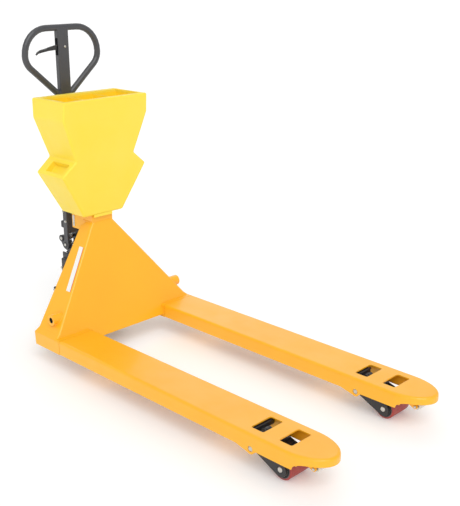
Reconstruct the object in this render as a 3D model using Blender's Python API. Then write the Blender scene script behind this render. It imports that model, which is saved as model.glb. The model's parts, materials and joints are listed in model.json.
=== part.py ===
"""Pallet scale: a hand pallet truck with weigh decks on its forks and an indicator in its housing.

Metres, +Z up. Sizes run from the steering axis, +X to the fork tips, and the left side (+Y)
mirrors the right side (-Y). The last step moves everything along X, so that the origin is on the
floor under the middle of the bounding box. The forks stand part raised at rest.
"""

import math

import bmesh
import bpy
from mathutils import Matrix, Vector

# ---- driving dimensions ----
GAP = 0.0003
FORK_TOP = 0.127
FORK_WIDTH = 0.160
FORK_EDGE = 0.009
OVERALL_WIDTH = 0.685
FORK_Y = (OVERALL_WIDTH - FORK_WIDTH) / 2
SKIRT_DEPTH = 0.053
SKIRT_BOTTOM = FORK_TOP - SKIRT_DEPTH
DECK_WALL = 0.004
DECK_UNDERSIDE = FORK_TOP - DECK_WALL - 0.0005
DECK_REAR = 0.2625
HEEL_GAP = 0.002
TIP_X = 1.503
NOSE_LENGTH = 0.128
WINDOW_WIDTH = 0.091
WINDOW_LENGTH = 0.051
WINDOW_CORNER = 0.006
REAR_WINDOW_X = 1.2335
FRONT_WINDOW_X = 1.346

BULKHEAD_FOOT_X = 0.239
BULKHEAD_LEAN = 0.345
BULKHEAD_BOTTOM = 0.084
BULKHEAD_SHEET = 0.0065
WING_SHEET = 0.0055
FOLD_RADIUS = 0.010
WING_FOOT_Z = FORK_TOP + 0.012
WING_FOOT_HALF = 0.3224
WING_FOOT_REAR_X = 0.109
WING_NARROWING = 0.7626
WING_REAR_LEAN = 0.1676
HEEL_REAR_X = 0.104
FRAME_TOP = 0.497
BRACKET_UNDERSIDE = 0.452
BRACKET_TOP = 0.556
BRACKET_HALF_WIDTH = 0.050
BRACKET_REAR_X = -0.023
BRACKET_FRONT_X = 0.110
BRACKET_WALL = 0.008

ROCKER_X = 0.185
ROCKER_Z = 0.183
ROCKER_SHORT_ARM = 0.061
ROCKER_SHORT_LEAN = 2.3
ROCKER_HALF_LENGTH = 0.2608
SHAFT_RADIUS = 0.011
BOSS_RADIUS = 0.021
BOSS_START_Y = 0.262
BOSS_END_Y = 0.320

PIVOT_X = 1.237
PIVOT_Z = 0.076
PIVOT_PIN_RADIUS = 0.008
ROLLER_X = 1.337
ROLLER_RADIUS = 0.0375
ROLLER_HALF_WIDTH = 0.048
ROLLER_AXLE_RADIUS = 0.0095
CHEEK_INNER = 0.0513
CHEEK_OUTER = 0.0573
PUSH_RADIUS = 0.030
PUSH_LEAN = 4.8
PUSH_EYE_RADIUS = 0.0145
ROD_EYE_DROP = 0.003
ROD_OFFSET = 0.016

RAIL_INNER = 0.058
RAIL_OUTER = 0.064
RAIL_BOTTOM = 0.080
RAIL_TOP = 0.118
RAIL_END_X = 1.404
CROSS_PLATE_TOP = 0.086
CELL_STATIONS = (0.42, 1.09)
CELL_LENGTH = 0.125
CELL_HALF_WIDTH = 0.014
CELL_Y = 0.036
CELL_LOW_Z = 0.0905
CELL_HIGH_Z = 0.1145

ENTRY_X = 1.450
ENTRY_Z = 0.081
ENTRY_RADIUS = 0.014
ENTRY_HALF_WIDTH = 0.030
ENTRY_PIN_RADIUS = 0.005

WHEEL_RADIUS = 0.090
WHEEL_INNER_Y = 0.055
WHEEL_OUTER_Y = 0.105
HUB_RADIUS = 0.072
AXLE_RADIUS = 0.010
RING_Z = 0.206
RING_HALF_HEIGHT = 0.009
RING_INNER_RADIUS = 0.0385
RING_OUTER_RADIUS = 0.050
CYLINDER_RADIUS = 0.034
CYLINDER_TOP = 0.386
RAM_RADIUS = 0.016
GLAND_RADIUS = 0.026

PUMP_BOX_LOW = (-0.046, -0.040, 0.226)
PUMP_BOX_HIGH = (0.028, 0.040, 0.375)
GUIDE_REAR_X = -0.1435
GUIDE_HALF_WIDTH = 0.034
GUIDE_TOP = 0.290
PLUNGER_X = -0.129
PLUNGER_RADIUS = 0.0085
PLUNGER_CAP_RADIUS = 0.0145
PLUNGER_FOOT = 0.276
PLUNGER_CAP_TOP = 0.364
PLUNGER_CAP_HEIGHT = 0.007
PLUNGER_BORE_FLOOR = 0.229
SPRING_TURNS = 6
SPRING_RADIUS = 0.0118
SPRING_WIRE = 0.0014
EAR_Y = 0.020
EAR_THICKNESS = 0.008
RELEASE_PIVOT = (0.004, 0.048, 0.262)

HANDLE_PIVOT_X = -0.102
HANDLE_PIVOT_Z = 0.356
HANDLE_PIN_RADIUS = 0.0062
CAM_OFFSET = 0.024
CAM_RADIUS = 0.0135
CAM_HALF_WIDTH = 0.012
YOKE_INNER = 0.0245
YOKE_OUTER = 0.0355
YOKE_TOP = 0.530
POST_X = -0.0965
POST_WIDTH = 0.050
POST_DEPTH = 0.026
POST_WALL = 0.003
POST_FOOT = 0.405
LOOP_TOP = 1.232
LOOP_TUBE = 0.0125
TRIGGER_Y = 0.006
TRIGGER_Z = 1.160

HOUSING_REAR_X = -0.024
HOUSING_REAR_LEAN = 0.0391
HOUSING_SHOULDER_Z = 0.915
HOUSING_WAIST_Z = 0.758
HOUSING_EAR_Z = 0.706
HOUSING_FOOT_Z = 0.528
HOUSING_RIM_X = 0.175
HOUSING_RIM_Z = 0.988
HOUSING_WALL = 0.004
HOUSING_EDGE = 0.007
POCKET_HALF = 0.024
POCKET_DEPTH = 0.025
POCKET_Y = 0.1725
POCKET_Z = 0.7315
TRAY_BOTTOM = 0.941
TRAY_TOP = 0.980
TRAY_HALF_WIDTH = 0.1776
PANEL_Z = 0.860
PANEL_HALF_WIDTH = 0.150
PANEL_HALF_HEIGHT = 0.050
PANEL_FACE_X = -0.0315

REAR_X = GUIDE_REAR_X
CENTRE_X = (TIP_X + REAR_X) / 2

SMALL_SIDES = 16
ROUND_SIDES = 28

# ---- colours: red, green, blue, roughness, metallic ----
FINISHES = {
    "orange_paint": (1.0, 0.43, 0.05, 0.35, 0.0),
    "yellow_plastic": (0.97, 0.72, 0.06, 0.50, 0.0),
    "deep_yellow_plastic": (1.0, 0.58, 0.0, 0.50, 0.0),
    "black_paint": (0.045, 0.043, 0.047, 0.45, 0.0),
    "grey_paint": (0.10, 0.10, 0.11, 0.40, 0.0),
    "bright_steel": (0.62, 0.62, 0.60, 0.25, 1.0),
    "chrome_rod": (0.80, 0.80, 0.80, 0.08, 1.0),
    "spring_steel": (0.30, 0.30, 0.32, 0.35, 1.0),
    "red_urethane": (0.48, 0.07, 0.07, 0.45, 0.0),
    "pale_nylon": (0.75, 0.73, 0.66, 0.50, 0.0),
    "black_urethane": (0.03, 0.03, 0.03, 0.55, 0.0),
    "cast_iron": (0.14, 0.14, 0.15, 0.60, 0.6),
    "cell_alloy": (0.66, 0.67, 0.69, 0.35, 1.0),
    "dark_plastic": (0.05, 0.055, 0.06, 0.55, 0.0),
    "key_rubber": (0.30, 0.32, 0.34, 0.70, 0.0),
    "clear_window": (0.75, 0.80, 0.80, 0.05, 0.0),
    "display_glass": (0.35, 0.42, 0.33, 0.15, 0.0),
    "board_green": (0.03, 0.22, 0.09, 0.45, 0.0),
    "cable_black": (0.02, 0.02, 0.02, 0.60, 0.0),
}

for old in list(bpy.data.objects):
    bpy.data.objects.remove(old, do_unlink=True)

PARTS = bpy.data.collections.new("pallet_scale")
TOOLS = bpy.data.collections.new("cutters")
TOOLS.hide_render = True
bpy.context.scene.collection.children.link(PARTS)
bpy.context.scene.collection.children.link(TOOLS)


# ---- mesh makers, all about the piece's own origin ----
def finish_of(slot):
    """The Principled material of a slot, made once."""
    if slot in bpy.data.materials:
        return bpy.data.materials[slot]
    red, green, blue, roughness, metallic = FINISHES[slot]
    material = bpy.data.materials.new(slot)
    material.use_nodes = True
    shader = material.node_tree.nodes["Principled BSDF"]
    shader.inputs["Base Color"].default_value = (red, green, blue, 1.0)
    shader.inputs["Roughness"].default_value = roughness
    shader.inputs["Metallic"].default_value = metallic
    return material


def mesh_from(work, name="shape"):
    """A mesh from a bmesh, with outward faces."""
    bmesh.ops.remove_doubles(work, verts=work.verts, dist=1e-6)
    bmesh.ops.recalc_face_normals(work, faces=work.faces)
    mesh = bpy.data.meshes.new(name)
    work.to_mesh(mesh)
    work.free()
    return mesh


def turn_to(axis):
    """The rotation that carries +Z onto a named axis."""
    turns = {
        "X": Matrix.Rotation(math.pi / 2, 4, "Y"),
        "Y": Matrix.Rotation(-math.pi / 2, 4, "X"),
        "Z": Matrix.Identity(4),
    }
    return turns[axis]


def box_mesh(low, high, rounding=0.0, segments=2):
    """A box between two corners, with its edges rounded."""
    low, high = Vector(low), Vector(high)
    work = bmesh.new()
    bmesh.ops.create_cube(work, size=1.0)
    bmesh.ops.scale(work, vec=high - low, verts=work.verts)
    bmesh.ops.translate(work, vec=(low + high) / 2, verts=work.verts)
    if rounding:
        bmesh.ops.bevel(work, geom=work.edges[:], offset=rounding, segments=segments,
                        affect="EDGES", profile=0.5)
    return mesh_from(work)


def rod_mesh(radius, start, end, axis="Z", centre=(0, 0, 0), sides=ROUND_SIDES, chamfer=0.0):
    """A round bar along an axis, from start to end, with its rims chamfered."""
    work = bmesh.new()
    bmesh.ops.create_cone(work, cap_ends=True, segments=sides, radius1=radius, radius2=radius,
                          depth=end - start)
    bmesh.ops.translate(work, vec=(0, 0, (start + end) / 2), verts=work.verts)
    if chamfer:
        rims = [edge for edge in work.edges if abs(edge.verts[0].co.z - edge.verts[1].co.z) < 1e-7]
        bmesh.ops.bevel(work, geom=rims, offset=chamfer, segments=1, affect="EDGES")
    bmesh.ops.transform(work, matrix=turn_to(axis), verts=work.verts)
    bmesh.ops.translate(work, vec=centre, verts=work.verts)
    return mesh_from(work)


def evaluated_mesh(curve_object):
    """The welded mesh of a curve object, which is then removed."""
    graph = bpy.context.evaluated_depsgraph_get()
    mesh = bpy.data.meshes.new_from_object(curve_object.evaluated_get(graph))
    bpy.data.objects.remove(curve_object, do_unlink=True)
    work = bmesh.new()
    work.from_mesh(mesh)
    bpy.data.meshes.remove(mesh)
    bmesh.ops.remove_doubles(work, verts=work.verts, dist=1e-5)
    return work


def plate_mesh(outline, thickness, normal="Z", offset=0.0, rounding=0.0, segments=2):
    """A flat outline given thickness. normal X reads (y, z) points, Y reads (x, z), Z reads (x, y)."""
    curve = bpy.data.curves.new("outline", "CURVE")
    curve.dimensions = "2D"
    curve.fill_mode = "BOTH"
    curve.extrude = thickness / 2
    spline = curve.splines.new("POLY")
    spline.points.add(len(outline) - 1)
    for point, (across, up) in zip(spline.points, outline):
        point.co = (across, up, 0, 1)
    spline.use_cyclic_u = True
    holder = bpy.data.objects.new("outline", curve)
    TOOLS.objects.link(holder)
    bpy.context.view_layer.update()
    work = evaluated_mesh(holder)
    bmesh.ops.dissolve_limit(work, angle_limit=math.radians(0.5), verts=work.verts, edges=work.edges)
    if rounding:
        rims = [edge for edge in work.edges if abs(edge.verts[0].co.z - edge.verts[1].co.z) < 1e-7]
        bmesh.ops.bevel(work, geom=rims, offset=rounding, segments=segments, affect="EDGES")
    stand = {
        "X": Matrix(((0, 0, 1, 0), (1, 0, 0, 0), (0, 1, 0, 0), (0, 0, 0, 1))),
        "Y": Matrix(((1, 0, 0, 0), (0, 0, -1, 0), (0, 1, 0, 0), (0, 0, 0, 1))),
        "Z": Matrix.Identity(4),
    }[normal]
    shift = {"X": (offset, 0, 0), "Y": (0, offset, 0), "Z": (0, 0, offset)}[normal]
    bmesh.ops.transform(work, matrix=stand, verts=work.verts)
    bmesh.ops.translate(work, vec=shift, verts=work.verts)
    return mesh_from(work)


def turned_mesh(profile, axis="Z", sides=ROUND_SIDES):
    """A closed (radius, height) profile spun about an axis."""
    work = bmesh.new()
    points = [work.verts.new((radius, 0, height)) for radius, height in profile]
    edges = [work.edges.new((points[i], points[(i + 1) % len(points)])) for i in range(len(points))]
    bmesh.ops.spin(work, geom=points + edges, cent=(0, 0, 0), axis=(0, 0, 1), angle=2 * math.pi,
                   steps=sides, use_merge=True)
    bmesh.ops.remove_doubles(work, verts=work.verts, dist=1e-6)
    bmesh.ops.transform(work, matrix=turn_to(axis), verts=work.verts)
    return mesh_from(work)


def tube_mesh(points, radius, closed=False, resolution=3):
    """A round bar along a path."""
    curve = bpy.data.curves.new("path", "CURVE")
    curve.dimensions = "3D"
    curve.bevel_depth = radius
    curve.bevel_resolution = resolution
    curve.use_fill_caps = True
    spline = curve.splines.new("POLY")
    spline.points.add(len(points) - 1)
    for point, place in zip(spline.points, points):
        point.co = (*place, 1)
    spline.use_cyclic_u = closed
    holder = bpy.data.objects.new("path", curve)
    TOOLS.objects.link(holder)
    bpy.context.view_layer.update()
    return mesh_from(evaluated_mesh(holder))


def loft_mesh(rings):
    """A solid through rings with the same number of corners, for a body whose sections are unlike."""
    work = bmesh.new()
    rows = [[work.verts.new(corner) for corner in ring] for ring in rings]
    corners = len(rings[0])
    for lower, upper in zip(rows, rows[1:]):
        for i in range(corners):
            after = (i + 1) % corners
            work.faces.new((lower[i], lower[after], upper[after], upper[i]))
    work.faces.new(rows[0])
    work.faces.new(rows[-1])
    return mesh_from(work)


# ---- outlines ----
def arc(centre, radius, start, end, steps=8):
    """Points round an arc, in degrees."""
    angles = [math.radians(start + (end - start) * i / steps) for i in range(steps + 1)]
    return [(centre[0] + radius * math.cos(a), centre[1] + radius * math.sin(a)) for a in angles]


def capsule(start, end, start_radius, end_radius, steps=8):
    """The outline round two circles joined by tangents, such as a link plate."""
    run = Vector(end) - Vector(start)
    heading = math.degrees(math.atan2(run.y, run.x))
    lean = math.degrees(math.asin((start_radius - end_radius) / run.length))
    far = arc(end, end_radius, heading - 90 + lean, heading + 90 - lean, steps)
    near = arc(start, start_radius, heading + 90 - lean, heading + 270 + lean, steps)
    return far + near


def rounded_path(corners, radii, steps=6):
    """A path through corners, each turned with its own radius. The ends keep radius 0."""
    path = []
    for i, (corner, radius) in enumerate(zip(corners, radii)):
        here = Vector(corner)
        if not radius:
            path.append(tuple(here))
            continue
        before = (Vector(corners[i - 1]) - here).normalized()
        after = (Vector(corners[(i + 1) % len(corners)]) - here).normalized()
        half = before.angle(after) / 2
        reach = radius / math.tan(half)
        middle = here + (before + after).normalized() * (radius / math.sin(half))
        first = (here + before * reach - middle).normalized()
        last = (here + after * reach - middle).normalized()
        for step in range(steps + 1):
            path.append(tuple(middle + first.slerp(last, step / steps) * radius))
    return path


# ---- placing pieces ----
def pivot(name, place, parent=None):
    """An empty on a joint's axis, which carries the pieces of its body."""
    empty = bpy.data.objects.new(name, None)
    empty.empty_display_size = 0.03
    PARTS.objects.link(empty)
    empty.location = Vector(place) - (world_place(parent) if parent else Vector())
    empty.parent = parent
    return empty


def world_place(item):
    """Where an unrotated object stands, through its parents."""
    place = Vector()
    while item:
        place += item.location
        item = item.parent
    return place


def piece(name, mesh, slot, body=None, at=(0, 0, 0), smooth=True):
    """A named sub-part with its finish. at is in world metres."""
    mesh.name = name
    part = bpy.data.objects.new(name, mesh)
    mesh.materials.append(finish_of(slot))
    PARTS.objects.link(part)
    part.parent = body
    part.location = Vector(at) - (world_place(body) if body else Vector())
    if smooth:
        mesh.shade_smooth()
        mesh.set_sharp_from_angle(angle=math.radians(35))
    return part


def tool(mesh, at=(0, 0, 0)):
    """A helper solid, which isn't a sub-part."""
    helper = bpy.data.objects.new("tool", mesh)
    TOOLS.objects.link(helper)
    helper.location = at
    helper.hide_render = True
    helper.display_type = "WIRE"
    return helper


def boolean(part, mesh, operation, at=(0, 0, 0)):
    """Cuts a solid from a sub-part, or joins one to it. at is in world metres."""
    modifier = part.modifiers.new(operation.lower(), "BOOLEAN")
    modifier.operation = operation
    modifier.solver = "EXACT"
    modifier.object = tool(mesh, at)


def cut(part, mesh, at=(0, 0, 0)):
    boolean(part, mesh, "DIFFERENCE", at)


def join(part, mesh, at=(0, 0, 0)):
    boolean(part, mesh, "UNION", at)


def sides():
    """(name, sign) of the two sides."""
    return (("left", 1), ("right", -1))


# ---- frame: bulkhead, wings, heels, bosses and head bracket in one weldment ----
def bulkhead_x(z):
    """The outer face of the leaning bulkhead at a height."""
    return BULKHEAD_FOOT_X - BULKHEAD_LEAN * (z - FORK_TOP)


def hull_rings(sheet_front, sheet_side, rear_shift, bottom, top):
    """Sections of the heels, wings and bulkhead from the bottom up, with the two front folds rounded."""
    rise = top - WING_FOOT_Z
    stations = (
        (bottom, HEEL_REAR_X + 0.004, OVERALL_WIDTH / 2),
        (FORK_TOP - 0.004, HEEL_REAR_X, OVERALL_WIDTH / 2),
        (WING_FOOT_Z, WING_FOOT_REAR_X, WING_FOOT_HALF),
        (top, WING_FOOT_REAR_X - WING_REAR_LEAN * rise, WING_FOOT_HALF - WING_NARROWING * rise),
    )
    rings = []
    for z, rear, half in stations:
        radius = FOLD_RADIUS - sheet_side
        front = bulkhead_x(z) - sheet_front
        side = half - sheet_side
        back = rear - rear_shift
        left_fold = arc((front - radius, side - radius), radius, 0, 90, 4)
        right_fold = [(x, -y) for x, y in reversed(left_fold)]
        plan = [(back, -side), *right_fold, *left_fold, (back, side)]
        rings.append([(x, y, z) for x, y in plan])
    return rings


def fork_section(start, end, half, top, bottom, radius):
    """A length of fork with its two upper edges rounded, centred on its own fork."""
    corners = [(-half, bottom), (half, bottom), (half, top), (-half, top)]
    return plate_mesh(rounded_path(corners, [0, 0, radius, radius], 4), end - start, "X", (start + end) / 2)


def make_frame():
    sheet_bottom = SKIRT_BOTTOM - 0.002
    frame = piece("main_frame", loft_mesh(hull_rings(0, 0, 0, sheet_bottom, FRAME_TOP)), "orange_paint")
    hollow = hull_rings(BULKHEAD_SHEET, WING_SHEET, 0.080, SKIRT_BOTTOM - 0.040, FRAME_TOP + 0.020)
    cut(frame, loft_mesh(hollow))
    inner_half = OVERALL_WIDTH / 2 - FORK_WIDTH - 0.0002
    cut(frame, box_mesh((0.15, -inner_half, 0.05), (0.30, inner_half, BULKHEAD_BOTTOM)))
    stub_start = bulkhead_x(FORK_TOP) - 0.016
    stub_end = DECK_REAR - HEEL_GAP
    for _, sign in sides():
        place = (0, sign * FORK_Y, 0)
        join(frame, fork_section(stub_start, stub_end, FORK_WIDTH / 2, FORK_TOP, sheet_bottom, FORK_EDGE),
             place)
        cut(frame, fork_section(stub_start - 0.06, stub_end + 0.01, FORK_WIDTH / 2 - BULKHEAD_SHEET,
                                FORK_TOP - 0.005, SKIRT_BOTTOM - 0.030, 0.003), place)
        near, far = sorted((sign * BOSS_START_Y, sign * BOSS_END_Y))
        join(frame, rod_mesh(BOSS_RADIUS, near, far, "Y"), (ROCKER_X, 0, ROCKER_Z))
    cut(frame, rod_mesh(SHAFT_RADIUS + 0.0005, -0.40, 0.40, "Y", sides=SMALL_SIDES + 4),
        (ROCKER_X, 0, ROCKER_Z))
    rear_corner = [(0.0, 0.467), (0.045, 0.4705), (0.075, FRAME_TOP + 0.0005), (0.075, 0.560), (0.0, 0.560)]
    cut(frame, plate_mesh(rear_corner, 0.30, "Y"))
    half, wall = BRACKET_HALF_WIDTH, BRACKET_WALL
    join(frame, box_mesh((BRACKET_REAR_X, -half, BRACKET_UNDERSIDE), (BRACKET_FRONT_X, half, BRACKET_TOP)))
    cut(frame, box_mesh((BRACKET_REAR_X - 0.01, -half + wall, BRACKET_UNDERSIDE + 0.014),
                        (BRACKET_FRONT_X - wall, half - wall, BRACKET_TOP + 0.01)))
    return frame


def make_fork_beam(side, sign):
    """The load-bearing beam inside a weigh deck: two rails, cross plates and entry-roller lugs."""
    start, end = DECK_REAR - 0.020, RAIL_END_X
    place = (0, sign * FORK_Y, 0)
    beam = piece("fork_beam_" + side,
                 box_mesh((start, RAIL_INNER, RAIL_BOTTOM), (end, RAIL_OUTER, RAIL_TOP)),
                 "orange_paint", at=place)
    join(beam, box_mesh((start, -RAIL_OUTER, RAIL_BOTTOM), (end, -RAIL_INNER, RAIL_TOP)), place)
    for station in CELL_STATIONS:
        join(beam, box_mesh((station - 0.075, -RAIL_OUTER + 0.001, RAIL_BOTTOM),
                            (station + 0.075, RAIL_OUTER - 0.001, CROSS_PLATE_TOP)), place)
    join(beam, box_mesh((end - 0.008, -RAIL_OUTER, RAIL_BOTTOM + 0.002),
                        (end - 0.001, RAIL_OUTER, RAIL_TOP)), place)
    entry_lug = capsule((end - 0.0045, 0.1055), (ENTRY_X, ENTRY_Z), 0.010, 0.008, 6)
    for y in (-0.037, 0.037):
        join(beam, plate_mesh(entry_lug, 0.006, "Y", y), place)
    cut(beam, rod_mesh(ENTRY_PIN_RADIUS + GAP, -0.05, 0.05, "Y", sides=SMALL_SIDES),
        (ENTRY_X, sign * FORK_Y, ENTRY_Z))
    pivot_lug = capsule((PIVOT_X, PIVOT_Z), (PIVOT_X, RAIL_BOTTOM + 0.012), 0.014, 0.020, 6)
    rail_middle = (RAIL_INNER + RAIL_OUTER) / 2
    for y in (-rail_middle, rail_middle):
        join(beam, plate_mesh(pivot_lug, RAIL_OUTER - RAIL_INNER - 0.0006, "Y", y), place)
    cut(beam, rod_mesh(PIVOT_PIN_RADIUS + GAP, -0.08, 0.08, "Y", sides=SMALL_SIDES),
        (PIVOT_X, sign * FORK_Y, PIVOT_Z))
    return beam


def nose_half_width(distance):
    """Half the fork's width at a distance behind the tip."""
    along = min(1.0, max(0.0, 1 - distance / NOSE_LENGTH))
    return FORK_WIDTH / 2 * math.sqrt(1 - along ** 2)


def fork_outline(inset=0.0, rear=DECK_REAR, steps=10):
    """The fork's plan: straight sides and an elliptical nose."""
    shrink = 1 - inset / (FORK_WIDTH / 2)
    nose = []
    for i in range(steps):
        distance = NOSE_LENGTH * (1 - math.sin(math.pi / 2 * i / steps))
        x = TIP_X - inset - distance * (1 - inset / NOSE_LENGTH)
        nose.append((x, nose_half_width(distance) * shrink))
    half = FORK_WIDTH / 2 - inset
    lower = [(x, -y) for x, y in nose]
    return [(rear, -half), *lower, (TIP_X - inset, 0), *reversed(nose), (rear, half)]


def skirt_profile():
    """The space below the deck's skirt, in (x, z): lug, straight edge, arch over the roller, lip."""
    bottom = SKIRT_BOTTOM
    lug = arc((PIVOT_X, PIVOT_Z), 0.017, 235, 335, 8)
    arch_x, arch_end_x, lip_z = 1.397, 1.455, FORK_TOP - 0.0265
    arch = []
    for step in range(1, 8):
        angle = math.pi / 2 * step / 7
        arch.append((arch_end_x - (arch_end_x - arch_x) * math.cos(angle),
                     bottom + (lip_z - bottom) * math.sin(angle)))
    below = bottom - 0.05
    edge = [(DECK_REAR - 0.02, bottom), (PIVOT_X - 0.062, bottom), *lug, (PIVOT_X + 0.024, bottom),
            (arch_x, bottom), *arch, (TIP_X + 0.02, lip_z + 0.001)]
    return edge + [(TIP_X + 0.02, below), (DECK_REAR - 0.02, below)]


def make_weigh_deck(side, sign):
    """The pressed cover that carries the pallet: a channel with a round nose and two windows."""
    height = SKIRT_DEPTH + 0.016
    middle = FORK_TOP - height / 2
    place = (0, sign * FORK_Y, 0)
    mesh = plate_mesh(fork_outline(), height, "Z", middle)
    work = bmesh.new()
    work.from_mesh(mesh)
    bpy.data.meshes.remove(mesh)
    top = [edge for edge in work.edges
           if all(vertex.co.z > FORK_TOP - 1e-5 for vertex in edge.verts)
           and not all(vertex.co.x < DECK_REAR + 1e-5 for vertex in edge.verts)
           and len(edge.link_faces) == 2 and abs(edge.calc_face_angle()) > 1.0]
    bmesh.ops.bevel(work, geom=top, offset=FORK_EDGE, segments=4, affect="EDGES", profile=0.5)
    deck = piece("weigh_deck_" + side, mesh_from(work), "orange_paint", at=place)
    inside = plate_mesh(fork_outline(DECK_WALL, DECK_REAR - 0.02), height, "Z", DECK_UNDERSIDE - height / 2)
    cut(deck, inside, place)
    cut(deck, plate_mesh(skirt_profile(), FORK_WIDTH + 0.04, "Y"), place)
    half_x, half_y = WINDOW_LENGTH / 2, WINDOW_WIDTH / 2
    for x in (REAR_WINDOW_X, FRONT_WINDOW_X):
        corners = [(x - half_x, -half_y), (x + half_x, -half_y), (x + half_x, half_y), (x - half_x, half_y)]
        cut(deck, plate_mesh(rounded_path(corners, [WINDOW_CORNER] * 4, 3), 0.02, "Z", FORK_TOP), place)
    cut(deck, rod_mesh(PIVOT_PIN_RADIUS + 0.002, -0.10, 0.10, "Y", sides=SMALL_SIDES),
        (PIVOT_X, sign * FORK_Y, PIVOT_Z))
    return deck


def make_load_cell(name, sign, station):
    """A bending-beam load cell: one foot on the beam's cross plate, one under the deck."""
    half = CELL_LENGTH / 2
    foot_half = CELL_HALF_WIDTH - 0.001
    foot_length = 0.033
    low_z, high_z = CELL_LOW_Z, CELL_HIGH_Z
    y = sign * FORK_Y + CELL_Y
    place = (station, y, 0)
    cell = piece(name, box_mesh((-half, -CELL_HALF_WIDTH, low_z), (half, CELL_HALF_WIDTH, high_z)),
                 "cell_alloy", at=place)
    join(cell, box_mesh((-half + 0.001, -foot_half, CROSS_PLATE_TOP + GAP),
                        (-half + 0.001 + foot_length, foot_half, low_z + 0.002)), place)
    join(cell, box_mesh((half - 0.001 - foot_length, -foot_half, high_z - 0.002),
                        (half - 0.001, foot_half, DECK_UNDERSIDE - GAP)), place)
    for x in (-0.009, 0.009):
        cut(cell, rod_mesh(0.0085, -0.02, 0.02, "Y", sides=SMALL_SIDES),
            (station + x, y, (low_z + high_z) / 2))
    return cell


def make_pins(side, sign):
    """The pins that a fork beam holds: the roller bracket's pivot and the entry roller's pin."""
    place = (PIVOT_X, sign * FORK_Y, PIVOT_Z)
    piece("bracket_pin_" + side,
          rod_mesh(PIVOT_PIN_RADIUS, -0.0795, 0.0795, "Y", sides=SMALL_SIDES, chamfer=0.001),
          "bright_steel", at=place)
    piece("entry_pin_" + side,
          rod_mesh(ENTRY_PIN_RADIUS, -0.0425, 0.0425, "Y", sides=SMALL_SIDES, chamfer=0.001),
          "bright_steel", at=(ENTRY_X, sign * FORK_Y, ENTRY_Z))


# ---- running gear under the forks ----
def push_point():
    """The push pin's place from the bracket's pivot, in (x, z)."""
    lean = math.radians(PUSH_LEAN)
    return Vector((-PUSH_RADIUS * math.sin(lean), PUSH_RADIUS * math.cos(lean)))


def make_roller_bracket(side, sign):
    """Two teardrop cheeks joined by webs, with the push lugs over the pivot."""
    body = pivot("bracket_pivot_" + side, (PIVOT_X, sign * FORK_Y, PIVOT_Z))
    reach = Vector((ROLLER_X - PIVOT_X, ROLLER_RADIUS - PIVOT_Z))
    cheek = capsule((0, 0), tuple(reach), 0.016, 0.024, 8)
    here = world_place(body)
    thickness = CHEEK_OUTER - CHEEK_INNER
    middle = (CHEEK_INNER + CHEEK_OUTER) / 2
    bracket = piece("roller_bracket_" + side, plate_mesh(cheek, thickness, "Y", middle), "black_paint",
                    body, here)
    join(bracket, plate_mesh(cheek, thickness, "Y", -middle), here)
    along = reach.normalized()
    normal = Vector((-along.y, along.x))
    corners = ((0.030, 0.0155), (0.030, 0.0105), (0.062, 0.0105), (0.062, 0.0155))
    web = [tuple(along * forward + normal * up) for forward, up in corners]
    join(bracket, plate_mesh(web, 2 * middle, "Y"), here)
    cover = [(-0.001, 0.027), (0.026, 0.0085), (0.0287, 0.0121), (0.0017, 0.0306)]
    join(bracket, plate_mesh(cover, 2 * middle, "Y"), here)
    push = push_point()
    push_place = here + Vector((push.x, 0, push.y))
    eye_room = 0.0085
    cut(bracket, rod_mesh(PUSH_EYE_RADIUS + 0.0025, -eye_room, eye_room, "Y", sides=SMALL_SIDES + 4),
        push_place)
    lug = capsule((0, 0.004), tuple(push), 0.013, 0.011, 6)
    for y in (-0.0115, 0.0115):
        join(bracket, plate_mesh(lug, 0.005, "Y", y), here)
        near, far = sorted((y * 0.9, math.copysign(CHEEK_INNER + 0.002, y)))
        join(bracket, rod_mesh(0.0125, near, far, "Y", sides=SMALL_SIDES), here)
    join(bracket, rod_mesh(0.005, -0.013, 0.013, "Y", sides=SMALL_SIDES), push_place)
    axle_place = (ROLLER_X, sign * FORK_Y, ROLLER_RADIUS)
    cut(bracket, rod_mesh(PIVOT_PIN_RADIUS + GAP, -0.07, 0.07, "Y", sides=SMALL_SIDES), here)
    cut(bracket, rod_mesh(ROLLER_AXLE_RADIUS + GAP, -0.07, 0.07, "Y", sides=SMALL_SIDES), axle_place)
    piece("roller_axle_" + side,
          rod_mesh(ROLLER_AXLE_RADIUS, -0.0576, 0.0576, "Y", sides=SMALL_SIDES, chamfer=0.0015),
          "bright_steel", body, axle_place)
    roller_body = pivot("roller_spin_" + side, axle_place, body)
    radius, half, bore = ROLLER_RADIUS, ROLLER_HALF_WIDTH, ROLLER_AXLE_RADIUS + GAP
    shoulder, recess, chamfer = 0.020, 0.002, 0.003
    left_half = [(radius, half - chamfer), (radius - chamfer, half), (shoulder, half),
                 (shoulder, half - recess), (bore, half - recess)]
    right_half = [(r, -y) for r, y in reversed(left_half)]
    piece("load_roller_" + side, turned_mesh(right_half + left_half, "Y", 32), "red_urethane", roller_body,
          axle_place)


def make_entry_roller(side, sign):
    """The small roller under the nose that climbs over a pallet's bottom boards."""
    body = pivot("entry_spin_" + side, (ENTRY_X, sign * FORK_Y, ENTRY_Z))
    bore, radius, half, chamfer = ENTRY_PIN_RADIUS + GAP, ENTRY_RADIUS, ENTRY_HALF_WIDTH, 0.002
    profile = [(bore, -half), (radius - chamfer, -half), (radius, -half + chamfer),
               (radius, half - chamfer), (radius - chamfer, half), (bore, half)]
    piece("entry_roller_" + side, turned_mesh(profile, "Y", SMALL_SIDES + 4), "pale_nylon", body,
          world_place(body))


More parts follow.
